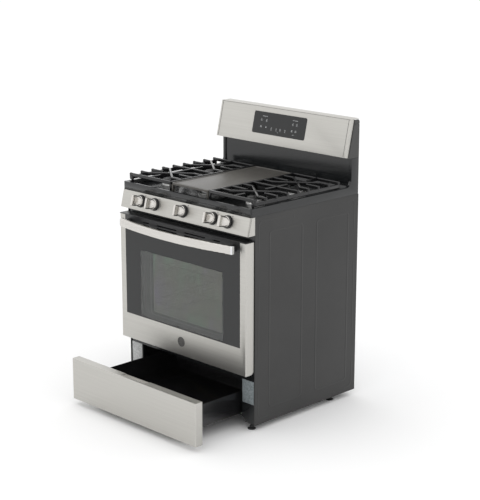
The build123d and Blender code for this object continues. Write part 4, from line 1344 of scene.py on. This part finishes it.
# Gives every edge of a mesh a round wire of one radius
wires, given, result = tree_for("wires", [("Radius", "Float"), ("Finish", "Material")])
paths = wire(wires, "GeometryNodeMeshToCurve", {"Mesh": given["Geometry"]})
section = wire(wires, "GeometryNodeCurvePrimitiveCircle", {"Resolution": 10, "Radius": given["Radius"]})
swept = wire(wires, "GeometryNodeCurveToMesh", {
    "Curve": paths[0], "Profile Curve": section[0], "Fill Caps": True
})
real = wire(wires, "GeometryNodeRealizeInstances", {"Geometry": swept[0]})
named = wire(wires, "GeometryNodeSetMaterial", {"Geometry": real[0], "Material": given["Finish"]})
wires.links.new(named[0], result[0])

nickel = finish(
    "nickel", (0.60, 0.58, 0.54), (0.46, 0.44, 0.41), 40, 600, (0.2, 0.34), 0.00002, Metallic=1.0
)


def wired(points, edges, radius):
    """A mesh of round wires along the edges between points."""
    base = bpy.data.meshes.new("paths")
    base.from_pydata([tuple(p) for p in points], edges, [])
    return grow(wires, base, {"Radius": radius, "Finish": nickel})


for node in ("rack_lower", "rack_upper"):
    low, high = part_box(node)
    mid = (low + high) / 2
    loop = [
        Vector((mid.x + x, mid.y + y, low.z + FRAME_WIRE))
        for x, y in round_corner(
            (high.x - low.x) / 2 - FRAME_WIRE, (high.y - low.y) / 2 - FRAME_WIRE, 0.012, steps=6
        )
    ]
    bm = bmesh.new()
    add_mesh(bm, wired(loop, [(i, (i + 1) % len(loop)) for i in range(len(loop))], FRAME_WIRE))
    ends = [Vector((x, mid.y, low.z + FRAME_WIRE)) for x in (low.x + 0.003, high.x - 0.003)]
    add_mesh(bm, wired(ends, [(0, 1)], FRAME_WIRE))
    across = []
    for k in range(-9, 10):
        across += [Vector((k * WIRE_PITCH, y, high.z - CROSS_WIRE)) for y in (low.y + 0.002, high.y - 0.002)]
    add_mesh(bm, wired(across, [(2 * k, 2 * k + 1) for k in range(19)], CROSS_WIRE))
    settle(node + "_wires", faced(bm), nickel, node, "pipe_steel", node, crease=60)

# ---- Floor, light and camera ------------------------------------------------
# A plain white studio: a wide pale floor, a soft white surround that is brightest low down,
# and one large soft light from above.

FLOOR_RADIUS = 60
floor_white, tree, shader = bare(
    "floor_white", Base_Color=(0.97, 0.97, 0.97, 1), Roughness=0.9, Specular_IOR_Level=0.0
)
bm = bmesh.new()
bmesh.ops.create_circle(bm, cap_ends=True, segments=96, radius=FLOOR_RADIUS)
mesh = bpy.data.meshes.new("floor")
bm.to_mesh(mesh)
bm.free()
mesh.materials.append(floor_white)
floor = added("floor", mesh)

studio = bpy.data.worlds.new("studio")
studio.use_nodes = True
tree = studio.node_tree
way = wire(tree, "ShaderNodeSeparateXYZ", {0: wire(tree, "ShaderNodeTexCoord", {})["Generated"]})
level = wire(tree, "ShaderNodeMapRange", {"Value": way["Z"], "To Min": 1.22, "To Max": 1.0})
tree.links.new(level[0], tree.nodes["Background"].inputs["Strength"])
tree.nodes["Background"].inputs["Color"].default_value = (1, 1, 1, 1)
bpy.context.scene.world = studio
bpy.context.scene.view_settings.view_transform = "Standard"


def soft_light(name, spot, target, size, power):
    """A square soft light that faces a point."""
    lamp = bpy.data.lights.new(name, "AREA")
    lamp.shape, lamp.size, lamp.energy = "SQUARE", size, power
    holder = added(name, lamp)
    holder.location = spot
    holder.rotation_euler = (Vector(target) - Vector(spot)).to_track_quat("-Z", "Y").to_euler()


soft_light("overhead", (-0.4, -0.3, 4.6), (0.0, 0.0, 0.6), 3.6, 22)

AZIMUTH, ELEVATION = math.radians(45.47), math.radians(14.55)
CAMERA_SPOT = (4.0893, -3.8990, 2.1363)
LENS_MM, SENSOR_MM = 101.4, 36.0
lens = bpy.data.cameras.new("camera")
lens.lens, lens.sensor_width = LENS_MM, SENSOR_MM
lens.clip_start, lens.clip_end = 0.05, 200
camera = added("camera", lens)
camera.location = CAMERA_SPOT
back = Vector((
    math.sin(AZIMUTH) * math.cos(ELEVATION), -math.cos(AZIMUTH) * math.cos(ELEVATION), math.sin(ELEVATION)
))
camera.rotation_euler = (-back).to_track_quat("-Z", "Y").to_euler()
lens.shift_x, lens.shift_y = 0.0083, -0.0063
bpy.context.scene.camera = camera
